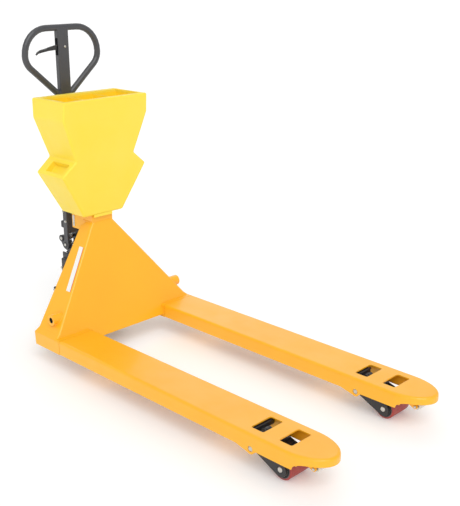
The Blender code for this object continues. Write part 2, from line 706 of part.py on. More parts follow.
def make_rocker_arm(body, foot):
    """The torque tube with two long arms to the link ring and two pairs of short arms to the push rods."""
    here = world_place(body)
    rocker = piece("rocker_arm",
                   rod_mesh(0.017, -ROCKER_HALF_LENGTH, ROCKER_HALF_LENGTH, "Y", sides=SMALL_SIDES + 4),
                   "black_paint", body, here)
    ring_x, ring_z = -ROCKER_X, RING_Z - ROCKER_Z
    knee = (-0.070, 0.052)
    wrist = (ring_x + 0.036, ring_z + 0.008)
    jaw = [(ring_x - 0.013, ring_z - 0.0165), (ring_x + 0.026, ring_z - 0.0165),
           (ring_x + 0.036, ring_z + 0.0185), (ring_x - 0.013, ring_z + 0.0185)]
    slot = [(ring_x - 0.030, ring_z - 0.012), (ring_x + 0.018, ring_z - 0.012),
            (ring_x + 0.018, ring_z + 0.012), (ring_x - 0.030, ring_z + 0.012)]
    for y in (-0.061, 0.061):
        join(rocker, plate_mesh(capsule((0, 0), knee, 0.017, 0.013, 6), 0.010, "Y", y), here)
        join(rocker, plate_mesh(capsule(knee, wrist, 0.013, 0.0135, 6), 0.010, "Y", y), here)
        join(rocker, plate_mesh(jaw, 0.010, "Y", y), here)
        cut(rocker, plate_mesh(slot, 0.020, "Y", y), here)
    for _, sign in sides():
        pin_y = sign * (FORK_Y - ROD_OFFSET)
        for y in (pin_y - 0.0105, pin_y + 0.0105):
            join(rocker, plate_mesh(capsule((0, 0), foot, 0.016, 0.012, 6), 0.007, "Y", y), here)
        join(rocker, rod_mesh(0.006, pin_y - 0.012, pin_y + 0.012, "Y", sides=SMALL_SIDES),
             here + Vector((foot[0], 0, foot[1])))
    cut(rocker, rod_mesh(SHAFT_RADIUS + GAP, -0.35, 0.35, "Y", sides=SMALL_SIDES + 4), here)
    piece("rocker_shaft", rod_mesh(SHAFT_RADIUS, -0.304, 0.304, "Y", sides=SMALL_SIDES + 4, chamfer=0.001),
          "bright_steel", at=here)


def make_push_rod(side, sign, rods):
    """A push rod: an eye on the rocker's foot, a riser, a long bar, and an eye round the push pin."""
    place = world_place(rods) + Vector((0, sign * FORK_Y, 0))
    push = push_point()
    end = (PIVOT_X + push.x - place.x, PIVOT_Z + push.y - ROD_EYE_DROP - place.z)
    bar_half = 0.0055
    bar_top, bar_bottom = end[1] + 0.006, end[1] - 0.008
    riser = capsule((0, 0), (0, bar_bottom + 0.010), 0.0115, 0.0095, 6)
    rod = piece("push_rod_" + side, plate_mesh(riser, 0.012, "Y", -sign * ROD_OFFSET), "black_paint", rods,
                place)
    offset_y = -sign * (ROD_OFFSET + 0.006)
    join(rod, box_mesh((-0.008, min(-bar_half, offset_y), bar_bottom + 0.0005),
                       (0.016, max(bar_half, offset_y), bar_top - 0.0005)), place)
    join(rod, box_mesh((0.0, -bar_half, bar_bottom), (end[0], bar_half, bar_top)), place)
    eye = place + Vector((end[0], 0, end[1]))
    join(rod, rod_mesh(PUSH_EYE_RADIUS, -0.0065, 0.0065, "Y", sides=SMALL_SIDES + 4), eye)
    cut(rod, rod_mesh(0.0063, -0.03, 0.03, "Y", sides=SMALL_SIDES), place)
    cut(rod, rod_mesh(0.0097, -0.02, 0.02, "Y", sides=SMALL_SIDES), eye)


def make_rocker():
    """The rocker under the bulkhead and the two push rods that it works."""
    body = pivot("rocker_pivot", (ROCKER_X, 0, ROCKER_Z))
    lean = math.radians(ROCKER_SHORT_LEAN)
    foot = (-ROCKER_SHORT_ARM * math.sin(lean), -ROCKER_SHORT_ARM * math.cos(lean))
    make_rocker_arm(body, foot)
    rods = pivot("push_rod_pivot", world_place(body) + Vector((foot[0], 0, foot[1])), body)
    for side, sign in sides():
        make_push_rod(side, sign, rods)


# ---- pump and steering ----
def make_link_ring(lift):
    """The ring round the pump that the rocker's jaws lift against."""
    place = (0, 0, RING_Z)
    inner, outer, half = RING_INNER_RADIUS, RING_OUTER_RADIUS, RING_HALF_HEIGHT
    ring = piece("link_ring", turned_mesh([(inner, -half), (outer, -half), (outer, half), (inner, half)]),
                 "cast_iron", lift, place)
    for _, sign in sides():
        near, far = sorted((sign * 0.046, sign * 0.070))
        join(ring, rod_mesh(0.007, near, far, "Y", sides=SMALL_SIDES), place)


def make_pump_body(steer):
    """The pump casting: cylinder, valve block, plunger guide, axle block and the handle's ears."""
    body = piece("pump_body", rod_mesh(CYLINDER_RADIUS, 0.120, CYLINDER_TOP), "black_paint", steer)
    join(body, rod_mesh(0.048, 0.160, RING_Z - RING_HALF_HEIGHT - 0.001))
    join(body, box_mesh((-0.024, -0.044, 0.066), (0.024, 0.044, 0.170), 0.005, 1))
    join(body, box_mesh(PUMP_BOX_LOW, PUMP_BOX_HIGH, 0.006, 2))
    join(body, box_mesh((GUIDE_REAR_X, -GUIDE_HALF_WIDTH, PUMP_BOX_LOW[2] - 0.0005),
                        (-0.005, GUIDE_HALF_WIDTH, GUIDE_TOP), 0.006, 2))
    ear = capsule((-0.050, 0.287), (HANDLE_PIVOT_X, HANDLE_PIVOT_Z), 0.026, 0.017, 6)
    for y in (-EAR_Y, EAR_Y):
        join(body, plate_mesh(ear, EAR_THICKNESS, "Y", y))
    cut(body, rod_mesh(RAM_RADIUS + 0.0015, 0.218, CYLINDER_TOP + 0.05, sides=SMALL_SIDES + 4))
    cut(body, rod_mesh(AXLE_RADIUS + GAP, -0.06, 0.06, "Y", centre=(0, 0, WHEEL_RADIUS), sides=SMALL_SIDES))
    cut(body, rod_mesh(HANDLE_PIN_RADIUS + GAP, -0.08, 0.08, "Y", centre=(HANDLE_PIVOT_X, 0, HANDLE_PIVOT_Z),
                       sides=SMALL_SIDES))
    cut(body, rod_mesh(PLUNGER_RADIUS + 0.0005, PLUNGER_BORE_FLOOR, GUIDE_TOP + 0.05,
                       centre=(PLUNGER_X, 0, 0), sides=SMALL_SIDES))


def make_gland(steer):
    """The nut that holds the ram's seal."""
    bore, low, high = RAM_RADIUS + 0.0010, CYLINDER_TOP + GAP, CYLINDER_TOP + 0.008
    profile = [(bore, low), (GLAND_RADIUS, low), (GLAND_RADIUS, high), (bore, high)]
    piece("gland_nut", turned_mesh(profile, sides=SMALL_SIDES + 4), "bright_steel", steer)


def make_steer_wheels(steer):
    """The two steering wheels under the pump, each a hub with a tyre, on one axle."""
    piece("steer_axle", rod_mesh(AXLE_RADIUS, -0.112, 0.112, "Y", sides=SMALL_SIDES, chamfer=0.0015),
          "bright_steel", steer, (0, 0, WHEEL_RADIUS))
    half = (WHEEL_OUTER_Y - WHEEL_INNER_Y) / 2
    bore = AXLE_RADIUS + GAP
    outer_face = [(HUB_RADIUS, half - 0.001), (0.062, half - 0.001), (0.058, 0.008), (0.032, 0.008),
                  (0.026, half - 0.002), (bore, half - 0.002)]
    hub = [(r, -y) for r, y in reversed(outer_face)] + outer_face
    tread = [(WHEEL_RADIUS, half - 0.007), (WHEEL_RADIUS - 0.005, half), (HUB_RADIUS + GAP, half)]
    tyre = [(r, -y) for r, y in reversed(tread)] + tread
    for side, sign in sides():
        centre_y = sign * (WHEEL_INNER_Y + WHEEL_OUTER_Y) / 2
        spin = pivot("steer_spin_" + side, (0, centre_y, WHEEL_RADIUS), steer)
        piece("steer_wheel_" + side, turned_mesh(hub, "Y"), "cast_iron", spin, world_place(spin))
        piece("steer_tyre_" + side, turned_mesh(tyre, "Y", 40), "black_urethane", spin, world_place(spin))


def make_plunger(steer):
    """The pump's plunger, pushed down by the handle's cam and back up by its spring."""
    place = (PLUNGER_X, 0, PLUNGER_FOOT)
    plunger = pivot("plunger_slide", place, steer)
    axis = 1e-5
    cap_low = PLUNGER_CAP_TOP - PLUNGER_CAP_HEIGHT
    profile = [(axis, PLUNGER_FOOT), (PLUNGER_RADIUS, PLUNGER_FOOT), (PLUNGER_RADIUS, cap_low),
               (PLUNGER_CAP_RADIUS, cap_low), (PLUNGER_CAP_RADIUS, PLUNGER_CAP_TOP), (axis, PLUNGER_CAP_TOP)]
    piece("pump_plunger", turned_mesh([(r, z - PLUNGER_FOOT) for r, z in profile], sides=SMALL_SIDES + 4),
          "chrome_rod", plunger, place)
    low, high = GUIDE_TOP + SPRING_WIRE + 0.0011, cap_low - SPRING_WIRE - 0.0011
    per_turn = 9
    coil = []
    for i in range(per_turn * SPRING_TURNS + 1):
        angle = 2 * math.pi * i / per_turn
        coil.append((SPRING_RADIUS * math.cos(angle), SPRING_RADIUS * math.sin(angle),
                     low + (high - low) * i / (per_turn * SPRING_TURNS)))
    piece("plunger_spring", tube_mesh(coil, SPRING_WIRE, resolution=1), "spring_steel", steer,
          (PLUNGER_X, 0, 0))


def make_release_lever(steer):
    """The valve lever on the side of the pump that lets the forks down."""
    release = pivot("release_pivot", RELEASE_PIVOT, steer)
    blade = capsule((0, 0), (-0.058, -0.004), 0.010, 0.007, 6)
    lever = piece("release_lever", plate_mesh(blade, 0.005, "Y", 0.0035), "black_paint", release,
                  world_place(release))
    join(lever, rod_mesh(0.006, -0.0070, 0.005, "Y", sides=SMALL_SIDES), world_place(release))


def make_pump():
    """The link ring rises and falls with the pump; the pump, wheels and handle steer inside it."""
    lift = pivot("lift_slide", (0, 0, RING_Z))
    make_link_ring(lift)
    steer = pivot("steer_axis", (0, 0, RING_Z), lift)
    make_pump_body(steer)
    make_gland(steer)
    make_steer_wheels(steer)
    make_plunger(steer)
    make_release_lever(steer)
    return steer


def make_lift_ram():
    """The ram that stands on the pump's oil, and the bearing that it carries under the head bracket."""
    ram_top = BRACKET_UNDERSIDE - GAP
    piece("lift_ram", rod_mesh(RAM_RADIUS, 0.290, ram_top, sides=SMALL_SIDES + 4, chamfer=0.001),
          "chrome_rod")
    bore, low = RAM_RADIUS + GAP, BRACKET_UNDERSIDE - 0.012
    profile = [(bore, low), (GLAND_RADIUS, low), (GLAND_RADIUS, ram_top), (bore, ram_top)]
    piece("head_bearing", turned_mesh(profile, sides=SMALL_SIDES + 4), "bright_steel")


# ---- handle ----
def loop_path():
    """The handle loop's centre line in (y, z): V-shaped lower arms, full round upper corners."""
    arm_y, arm_z, elbow_z, side = 0.018, 0.968, 1.1035, 0.170
    right = [(arm_y, arm_z), (side, elbow_z), (side, LOOP_TOP)]
    corners = right + [(-y, z) for y, z in reversed(right)]
    elbow, shoulder = 0.065, 0.098
    return rounded_path(corners, [0, elbow, shoulder, shoulder, elbow, 0], 8)


def make_handle_frame(handle, cam_place):
    """The hollow post with its yoke, its loop, the trigger's slot and the cam's axle."""
    half_w, half_d, wall = POST_WIDTH / 2, POST_DEPTH / 2, POST_WALL
    rear, front = POST_X - half_d, POST_X + half_d
    frame = piece("handle_frame", box_mesh((rear, -half_w, POST_FOOT), (front, half_w, LOOP_TOP), 0.004, 2),
                  "grey_paint", handle)
    join(frame, tube_mesh([(0, y, z) for y, z in loop_path()], LOOP_TUBE, resolution=4), (POST_X, 0, 0))
    yoke_thickness = YOKE_OUTER - YOKE_INNER
    yoke_middle = (YOKE_INNER + YOKE_OUTER) / 2
    foot = arc((HANDLE_PIVOT_X, HANDLE_PIVOT_Z), 0.020, 180, 360, 8)
    cheek = [*foot, (front, 0.392), (front, YOKE_TOP - 0.008), (front - 0.006, YOKE_TOP),
             (rear + 0.006, YOKE_TOP), (rear, YOKE_TOP - 0.008), (rear, 0.392)]
    lobe = capsule((HANDLE_PIVOT_X, HANDLE_PIVOT_Z), (cam_place[0], cam_place[2]), 0.019, 0.0135, 6)
    for y in (-yoke_middle, yoke_middle):
        join(frame, plate_mesh(cheek, yoke_thickness, "Y", y, 0.0015, 1))
        join(frame, plate_mesh(lobe, yoke_thickness - 0.0006, "Y", y))
    cut(frame, box_mesh((rear + wall, -half_w + wall, POST_FOOT - 0.03),
                        (front - wall, half_w - wall, LOOP_TOP - 0.016)))
    slot_half_depth, slot_half_height = 0.009, 0.0325
    cut(frame, box_mesh((POST_X - slot_half_depth, -half_w - 0.004, TRIGGER_Z - slot_half_height),
                        (POST_X + slot_half_depth, -half_w + 0.008, TRIGGER_Z + slot_half_height)))
    cut(frame, rod_mesh(HANDLE_PIN_RADIUS + GAP, -0.08, 0.08, "Y", centre=(HANDLE_PIVOT_X, 0, HANDLE_PIVOT_Z),
                        sides=SMALL_SIDES))
    axle_half = YOKE_OUTER - 0.001
    join(frame, rod_mesh(0.006, -axle_half, axle_half, "Y", centre=cam_place, sides=SMALL_SIDES))


def make_cam(handle, cam_place):
    """The roller on the handle's foot that rides on the plunger's cap."""
    cam = pivot("cam_spin", cam_place, handle)
    bore, radius, half, chamfer = 0.0063, CAM_RADIUS, CAM_HALF_WIDTH, 0.001
    profile = [(bore, -half), (radius - chamfer, -half), (radius, -half + chamfer),
               (radius, half - chamfer), (radius - chamfer, half), (bore, half)]
    piece("cam_roller", turned_mesh(profile, "Y", SMALL_SIDES + 4), "bright_steel", cam, cam_place)


def make_trigger(handle):
    """The release trigger in the loop, its pin, and the rod that runs down the post."""
    place = (POST_X, TRIGGER_Y, TRIGGER_Z)
    trigger = pivot("trigger_pivot", place, handle)
    upper = [(0.008, 0.0070), (-0.016, 0.0090), (-0.037, 0.0066), (-0.061, 0.0020), (-0.084, -0.0040),
             (-0.107, -0.0080), (-0.121, -0.0150), (-0.128, -0.0245)]
    lower = [(-0.125, -0.0270), (-0.117, -0.0210), (-0.099, -0.0180), (-0.071, -0.0140), (-0.039, -0.0120),
             (-0.012, -0.0090), (0.008, -0.0065)]
    lever = piece("trigger", plate_mesh(upper + lower, 0.009, "X", rounding=0.0015, segments=2),
                  "black_paint", trigger, place)
    cut(lever, rod_mesh(0.0028, -0.02, 0.02, "X", sides=12), place)
    pin_half = POST_DEPTH / 2 - POST_WALL - GAP
    piece("trigger_pin", rod_mesh(0.0025, -pin_half, pin_half, "X", sides=12), "bright_steel", handle, place)
    middle = 0.700
    rod_place = (POST_X, TRIGGER_Y - 0.018, middle)
    rod = pivot("release_rod_slide", rod_place, handle)
    piece("release_rod", rod_mesh(0.003, POST_FOOT - 0.020 - middle, TRIGGER_Z - 0.0185 - middle, sides=12),
          "bright_steel", rod, rod_place)


def make_handle(steer):
    """The drawbar handle with everything that it carries."""
    handle_place = (HANDLE_PIVOT_X, 0, HANDLE_PIVOT_Z)
    handle = pivot("handle_pivot", handle_place, steer)
    cam_place = (HANDLE_PIVOT_X - CAM_OFFSET, 0, HANDLE_PIVOT_Z + CAM_OFFSET)
    make_handle_frame(handle, cam_place)
    piece("handle_pin", rod_mesh(HANDLE_PIN_RADIUS, -0.0380, 0.0380, "Y", sides=SMALL_SIDES, chamfer=0.001),
          "bright_steel", steer, handle_place)
    make_cam(handle, cam_place)
    make_trigger(handle)


# ---- housing and indicator ----
def housing_front(z):
    """The front face leans in towards its foot."""
    drop = HOUSING_RIM_Z - z
    return HOUSING_RIM_X - 0.09 * drop - 0.05 * drop * drop


def housing_rear(z):
    """The rear face is upright to the waist and leans back above it."""
    return HOUSING_REAR_X - HOUSING_REAR_LEAN * max(0.0, z - HOUSING_WAIST_Z)


def housing_outline(inset=0.0):
    """The housing's silhouette in (y, z): rim, shoulder, waist, ear and tapered body."""
    right = [(0.1965, HOUSING_RIM_Z), (0.1990, HOUSING_SHOULDER_Z), (0.1405, HOUSING_WAIST_Z),
             (0.2025, HOUSING_EAR_Z), (0.0950, HOUSING_FOOT_Z)]
    points = right + [(-y, z) for y, z in reversed(right)]
    if not inset:
        return points
    inner = []
    for i, point in enumerate(points):
        here = Vector(point)
        first = (here - Vector(points[i - 1])).normalized()
        second = (Vector(points[(i + 1) % len(points)]) - here).normalized()
        first_normal = Vector((first.y, -first.x))
        second_normal = Vector((second.y, -second.x))
        bisector = (first_normal + second_normal).normalized()
        inner.append(tuple(here + bisector * inset / max(0.35, bisector.dot(first_normal))))
    return inner


def housing_solid(inset=0.0, rounding=0.0):
    """The silhouette given depth, with its front and rear faces leaning, drawn in by an inset all round."""
    middle = (HOUSING_RIM_X + HOUSING_REAR_X) / 2
    mesh = plate_mesh(housing_outline(inset), HOUSING_RIM_X - HOUSING_REAR_X - 2 * inset, "X", middle)
    work = bmesh.new()
    work.from_mesh(mesh)
    bpy.data.meshes.remove(mesh)
    if rounding:
        edges = [edge for edge in work.edges if len(edge.link_faces) == 2 and edge.calc_face_angle() > 0.2]
        bmesh.ops.bevel(work, geom=edges, offset=rounding, segments=3, affect="EDGES", profile=0.5)
    for level in (0.86, HOUSING_WAIST_Z, 0.62):
        bmesh.ops.bisect_plane(work, geom=work.verts[:] + work.edges[:] + work.faces[:],
                               plane_co=(0, 0, level), plane_no=(0, 0, 1))
    for vertex in work.verts:
        if vertex.co.x > middle:
            vertex.co.x += housing_front(vertex.co.z) - HOUSING_RIM_X
        else:
            vertex.co.x += housing_rear(vertex.co.z) - HOUSING_REAR_X
    return mesh_from(work)


def ear_slope():
    """The fall of the ear's top face towards its outer end."""
    return math.atan2(HOUSING_WAIST_Z - HOUSING_EAR_Z, 0.2025 - 0.1405)


def ear_box(sign, low, high, rounding=0.0):
    """A box set square to an ear's sloping top face."""
    mesh = box_mesh(low, high, rounding)
    mesh.transform(Matrix.Rotation(-sign * ear_slope(), 4, "X"))
    return mesh


def make_housing():
    """The moulded housing with its open top, its ear pockets and the room for the head bracket."""
    shell = piece("housing_shell", housing_solid(rounding=HOUSING_EDGE), "yellow_plastic")
    cut(shell, housing_solid(HOUSING_WALL))
    cut(shell, box_mesh((0.002, -0.178, 0.970), (0.155, 0.178, 1.010)))
    join(shell, box_mesh((0.114, -0.045, 0.517), (0.1205, 0.045, HOUSING_FOOT_Z + 0.003), 0.002, 1))
    cut(shell, box_mesh((HOUSING_REAR_X - 0.02, -0.0535, 0.480), (0.113, 0.0535, 0.566)))
    opening_y, opening_z = PANEL_HALF_WIDTH + 0.0005, PANEL_HALF_HEIGHT + 0.0005
    cut(shell, box_mesh((-0.060, -opening_y, PANEL_Z - opening_z), (-0.010, opening_y, PANEL_Z + opening_z)))
    near_x, far_x, wall = 0.022, 0.128, 0.003
    for _, sign in sides():
        place = (0, sign * POCKET_Y, POCKET_Z)
        join(shell, ear_box(sign, (near_x - wall, -POCKET_HALF - wall, -POCKET_DEPTH - wall),
                            (far_x + wall, POCKET_HALF + wall, -0.002)), place)
        cut(shell, ear_box(sign, (near_x, -POCKET_HALF, -POCKET_DEPTH), (far_x, POCKET_HALF, 0.012), 0.004),
            place)
    return shell


def make_tray():
    """The shallow tray in the housing's open top, with three compartments."""
    rear, front, wall = 0.0024, 0.1546, 0.0036
    half = TRAY_HALF_WIDTH
    tray = piece("housing_tray", box_mesh((rear, -half, TRAY_BOTTOM), (front, half, TRAY_TOP), 0.002, 1),
                 "deep_yellow_plastic")
    divider_y, divider_half = 0.060, 0.002
    edges = (-half + wall, -divider_y, divider_y, half - wall)
    for low, high in zip(edges, edges[1:]):
        near = low + (divider_half if low > -half + wall else 0)
        far = high - (divider_half if high < half - wall else 0)
        cut(tray, box_mesh((rear + wall, near, TRAY_BOTTOM + wall),
                           (front - wall, far, TRAY_TOP + 0.03), 0.003, 2))
    return tray


def make_indicator():
    """The weighing indicator set in the housing's operator side."""
    face = PANEL_FACE_X
    half_y, half_z, wall = PANEL_HALF_WIDTH, PANEL_HALF_HEIGHT, 0.003
    low_z, high_z = PANEL_Z - half_z, PANEL_Z + half_z
    case = piece("indicator_case", box_mesh((face, -half_y, low_z), (face + 0.018, half_y, high_z), wall, 2),
                 "dark_plastic")
    cut(case, box_mesh((face + wall, -half_y + wall, low_z + wall),
                       (face + 0.030, half_y - wall, high_z - wall)))
    window_left, window_right, window_low, window_high = -0.140, -0.036, PANEL_Z - 0.032, PANEL_Z + 0.022
    cut(case, box_mesh((face - 0.01, window_left, window_low), (face + 0.01, window_right, window_high)))
    piece("display_window", box_mesh((face + 0.0005, window_left + GAP, window_low + GAP),
                                     (face + 0.0025, window_right - GAP, window_high - GAP)), "clear_window")
    piece("display_panel", box_mesh((face + 0.0032, window_left + 0.004, window_low + 0.003),
                                    (face + 0.0072, window_right - 0.004, window_high - 0.003)),
          "display_glass")
    piece("indicator_board", box_mesh((face + 0.0120, -0.144, low_z + 0.006),
                                      (face + 0.0136, 0.144, high_z - 0.006)), "board_green")
    columns, rows = (0.060, 0.112), (PANEL_Z + 0.010, PANEL_Z - 0.022)
    names = (("zero_key", "tare_key"), ("print_key", "power_key"))
    key_half_y, key_half_z = 0.017, 0.011
    for row_names, z in zip(names, rows):
        for name, y in zip(row_names, columns):
            cut(case, box_mesh((face - 0.01, y - key_half_y - GAP, z - key_half_z - GAP),
                               (face + 0.01, y + key_half_y + GAP, z + key_half_z + GAP)))
            key = pivot(name + "_slide", (face, y, z))
            piece(name, box_mesh((-0.002, -key_half_y, -key_half_z),
                                 (0.0030, key_half_y, key_half_z), 0.0015, 2),
                  "key_rubber", key, world_place(key))


def make_housing_contents():
    """What the housing hides: the battery, the junction box and the cables to the load cells."""
    piece("battery_pack", box_mesh((0.020, -0.060, 0.600), (0.085, 0.060, 0.665), 0.003, 1), "dark_plastic")
    piece("junction_box", box_mesh((0.020, -0.055, 0.7000), (0.050, 0.055, 0.760), 0.004, 2), "dark_plastic")
    for side, sign in sides():
        y = sign * 0.030
        path = [(0.035, y, 0.6995), (0.035, y, 0.688), (0.040, sign * 0.068, 0.676),
                (0.060, sign * 0.070, 0.620), (0.096, sign * 0.062, 0.580)]
        piece("load_cell_cable_" + side, tube_mesh(path, 0.003, resolution=1), "cable_black")


make_frame()
for side_name, side_sign in sides():
    make_fork_beam(side_name, side_sign)
    make_weigh_deck(side_name, side_sign)
    for place_name, station_x in zip(("rear", "front"), CELL_STATIONS):
        make_load_cell(f"load_cell_{place_name}_{side_name}", side_sign, station_x)
    make_pins(side_name, side_sign)
    make_roller_bracket(side_name, side_sign)
    make_entry_roller(side_name, side_sign)
make_rocker()
make_lift_ram()
make_handle(make_pump())
make_housing()
make_tray()
make_indicator()
make_housing_contents()

# The origin moves to the floor under the middle of the bounding box.
for item in [*PARTS.objects, *TOOLS.objects]:
    if item.parent is None:
        item.location.x -= CENTRE_X
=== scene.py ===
"""Looks of the pallet scale: materials, small fittings, floor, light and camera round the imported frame."""

import json
import math

import bmesh
import bpy
from mathutils import Matrix, Vector


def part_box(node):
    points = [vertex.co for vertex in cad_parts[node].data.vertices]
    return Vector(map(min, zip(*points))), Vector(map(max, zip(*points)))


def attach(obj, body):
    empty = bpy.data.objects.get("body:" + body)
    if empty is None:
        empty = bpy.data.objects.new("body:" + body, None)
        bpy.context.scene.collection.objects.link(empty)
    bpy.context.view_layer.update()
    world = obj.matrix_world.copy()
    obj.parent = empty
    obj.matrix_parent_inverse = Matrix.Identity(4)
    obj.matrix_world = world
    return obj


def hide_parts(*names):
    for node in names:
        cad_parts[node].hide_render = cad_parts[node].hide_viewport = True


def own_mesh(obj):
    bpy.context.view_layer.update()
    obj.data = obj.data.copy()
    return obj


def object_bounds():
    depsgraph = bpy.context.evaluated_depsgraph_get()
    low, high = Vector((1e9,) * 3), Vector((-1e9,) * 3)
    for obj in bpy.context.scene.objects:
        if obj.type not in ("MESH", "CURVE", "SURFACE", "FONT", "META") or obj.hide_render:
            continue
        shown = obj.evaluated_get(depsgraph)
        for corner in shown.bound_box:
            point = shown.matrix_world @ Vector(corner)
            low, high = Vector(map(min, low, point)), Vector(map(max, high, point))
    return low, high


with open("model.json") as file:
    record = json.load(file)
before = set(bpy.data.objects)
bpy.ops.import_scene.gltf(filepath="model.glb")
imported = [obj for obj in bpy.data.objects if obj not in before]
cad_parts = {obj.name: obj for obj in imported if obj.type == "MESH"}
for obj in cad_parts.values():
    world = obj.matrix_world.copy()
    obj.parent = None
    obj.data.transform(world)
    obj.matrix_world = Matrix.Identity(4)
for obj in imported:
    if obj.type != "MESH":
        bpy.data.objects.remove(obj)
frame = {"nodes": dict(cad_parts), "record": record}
CAD_LOW, CAD_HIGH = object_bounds()
SLOT_OF = {item["node"]: item["material_slot"] for item in frame["record"]["subparts"]}

SIDES = (("left", 1), ("right", -1))


def middle_of(node):
    """The middle of a CAD node's box."""
    low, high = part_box(node)
    return (low + high) / 2


STEER_X = middle_of("steer_axle").x


def spot(x, y, z):
    """A place measured from the steering axis, as the frame's own parts are."""
    return Vector((STEER_X + x, y, z))


# ---- colours, linear ----
ORANGE = (0.98, 0.475, 0.012)
ORANGE_DEEP = (0.95, 0.395, 0.006)
YELLOW = (0.98, 0.745, 0.055)
YELLOW_DEEP = (0.98, 0.68, 0.020)
BLACK_SATIN = (0.018, 0.018, 0.020)
GREY_SATIN = (0.055, 0.056, 0.062)
ZINC = (0.62, 0.61, 0.57)
CHROME = (0.80, 0.80, 0.82)
PLUNGER_STEEL = (0.20, 0.20, 0.21)
SPRING = (0.060, 0.060, 0.064)
RED = (0.36, 0.045, 0.040)
HUB_GREY = (0.13, 0.135, 0.13)
NYLON = (0.74, 0.71, 0.62)
TYRE = (0.020, 0.020, 0.022)
IRON = (0.075, 0.078, 0.082)
ALUMINIUM = (0.70, 0.71, 0.73)
DARK_PLASTIC = (0.030, 0.032, 0.036)
KEY_GREY = (0.22, 0.24, 0.26)
LCD = (0.30, 0.38, 0.27)
SEGMENT = (0.004, 0.006, 0.005)
BOARD = (0.010, 0.10, 0.035)
LAMP_GREEN = (0.05, 0.42, 0.06)
LABEL_WHITE = (0.86, 0.86, 0.84)
LABEL_RED = (0.60, 0.035, 0.030)
FLOOR = (0.90, 0.90, 0.90)


# ---- node materials ----
PAINT_EDGE, METAL_EDGE = 0.0012, 0.0006  # how far the shading rounds an edge
MIX_FACTOR, MIX_UNDER, MIX_OVER, MIX_RESULT = 0, 6, 7, 2  # a colour mix's sockets


class Look:
    """A node material, with short calls for the nodes that the looks share."""

    def __init__(self, name, base, roughness=0.5, metallic=0.0):
        """Starts from one colour on a Principled surface."""
        self.material = bpy.data.materials.new(name)
        self.material.use_nodes = True
        self.tree = self.material.node_tree
        self.surface = self.tree.nodes["Principled BSDF"]
        self.surface.inputs["Metallic"].default_value = metallic
        self.surface.inputs["Roughness"].default_value = roughness
        self.place = self.add("ShaderNodeTexCoord").outputs["Object"]
        self.colour = self.add("ShaderNodeRGB").outputs[0]
        self.colour.default_value = (*base, 1)
        self.height = None

    def add(self, kind, **settings):
        """A new node; each setting is an input's value, or else a property of the node."""
        made = self.tree.nodes.new(kind)
        for name, value in settings.items():
            if name in made.inputs:
                made.inputs[name].default_value = value
            else:
                setattr(made, name, value)
        return made

    def link(self, source, target):
        """Joins an output to an input."""
        self.tree.links.new(source, target)

    def math(self, operation, first, second=0.0):
        """A Math node on sockets or numbers."""
        made = self.add("ShaderNodeMath", operation=operation)
        for socket, value in zip(made.inputs, (first, second)):
            if isinstance(value, (int, float)):
                socket.default_value = value
            else:
                self.link(value, socket)
        return made.outputs[0]

    def stretched(self, scale):
        """Object coordinates scaled along each axis."""
        made = self.add("ShaderNodeMapping")
        made.inputs["Scale"].default_value = scale
        self.link(self.place, made.inputs["Vector"])
        return made.outputs[0]

    def noise(self, scale, detail=3.0, stretch=(1, 1, 1)):
        """Noise from 0 to 1, in object coordinates that may be stretched."""
        made = self.add("ShaderNodeTexNoise", Scale=scale, Detail=detail, Distortion=0.0)
        self.link(self.stretched(stretch), made.inputs["Vector"])
        return made.outputs["Fac"]

    def between(self, value, low, high, out_low=0.0, out_high=1.0):
        """A value mapped and clamped from low..high to out_low..out_high."""
        made = self.add("ShaderNodeMapRange", clamp=True)
        for name, number in zip(("From Min", "From Max", "To Min", "To Max"), (low, high, out_low, out_high)):
            made.inputs[name].default_value = number
        self.link(value, made.inputs["Value"])
        return made.outputs[0]

    def tint(self, factor, colour):
        """Mixes a colour over what the look has so far."""
        made = self.add("ShaderNodeMix", data_type="RGBA", blend_type="MIX", clamp_factor=True)
        self.link(factor, made.inputs[MIX_FACTOR])
        self.link(self.colour, made.inputs[MIX_UNDER])
        made.inputs[MIX_OVER].default_value = (*colour, 1)
        self.colour = made.outputs[MIX_RESULT]

    def edge(self, radius, low=0.02, high=0.20):
        """A mask of the outer and inner edges, from how far a rounded normal turns away."""
        rounded = self.add("ShaderNodeBevel", samples=4)
        rounded.inputs["Radius"].default_value = radius
        flat = self.add("ShaderNodeNewGeometry").outputs["Normal"]
        dot = self.add("ShaderNodeVectorMath", operation="DOT_PRODUCT")
        self.link(rounded.outputs[0], dot.inputs[0])
        self.link(flat, dot.inputs[1])
        turned = self.math("SUBTRACT", 1.0, dot.outputs["Value"])
        return self.between(turned, low, high)

    def rough(self, value, low, high):
        """Drives the roughness from low to high by the middle part of a noise."""
        self.link(self.between(value, 0.3, 0.7, low, high), self.surface.inputs["Roughness"])

    def raise_by(self, height, amount):
        """Adds a height in metres to the bump."""
        part = self.math("MULTIPLY", height, amount)
        self.height = part if self.height is None else self.math("ADD", self.height, part)

    def done(self, soften=0.0):
        """Joins the colour and bump to the surface; soften rounds the shading of edges by a radius."""
        self.link(self.colour, self.surface.inputs["Base Color"])
        normal = None
        if soften:
            rounded = self.add("ShaderNodeBevel", samples=4)
            rounded.inputs["Radius"].default_value = soften
            normal = rounded.outputs[0]
        if self.height is not None:
            bump = self.add("ShaderNodeBump")
            bump.inputs["Strength"].default_value = 1.0
            bump.inputs["Distance"].default_value = 1.0
            self.link(self.height, bump.inputs["Height"])
            if normal is not None:
                self.link(normal, bump.inputs["Normal"])
            normal = bump.outputs[0]
        if normal is not None:
            self.link(normal, self.surface.inputs["Normal"])
        return self.material


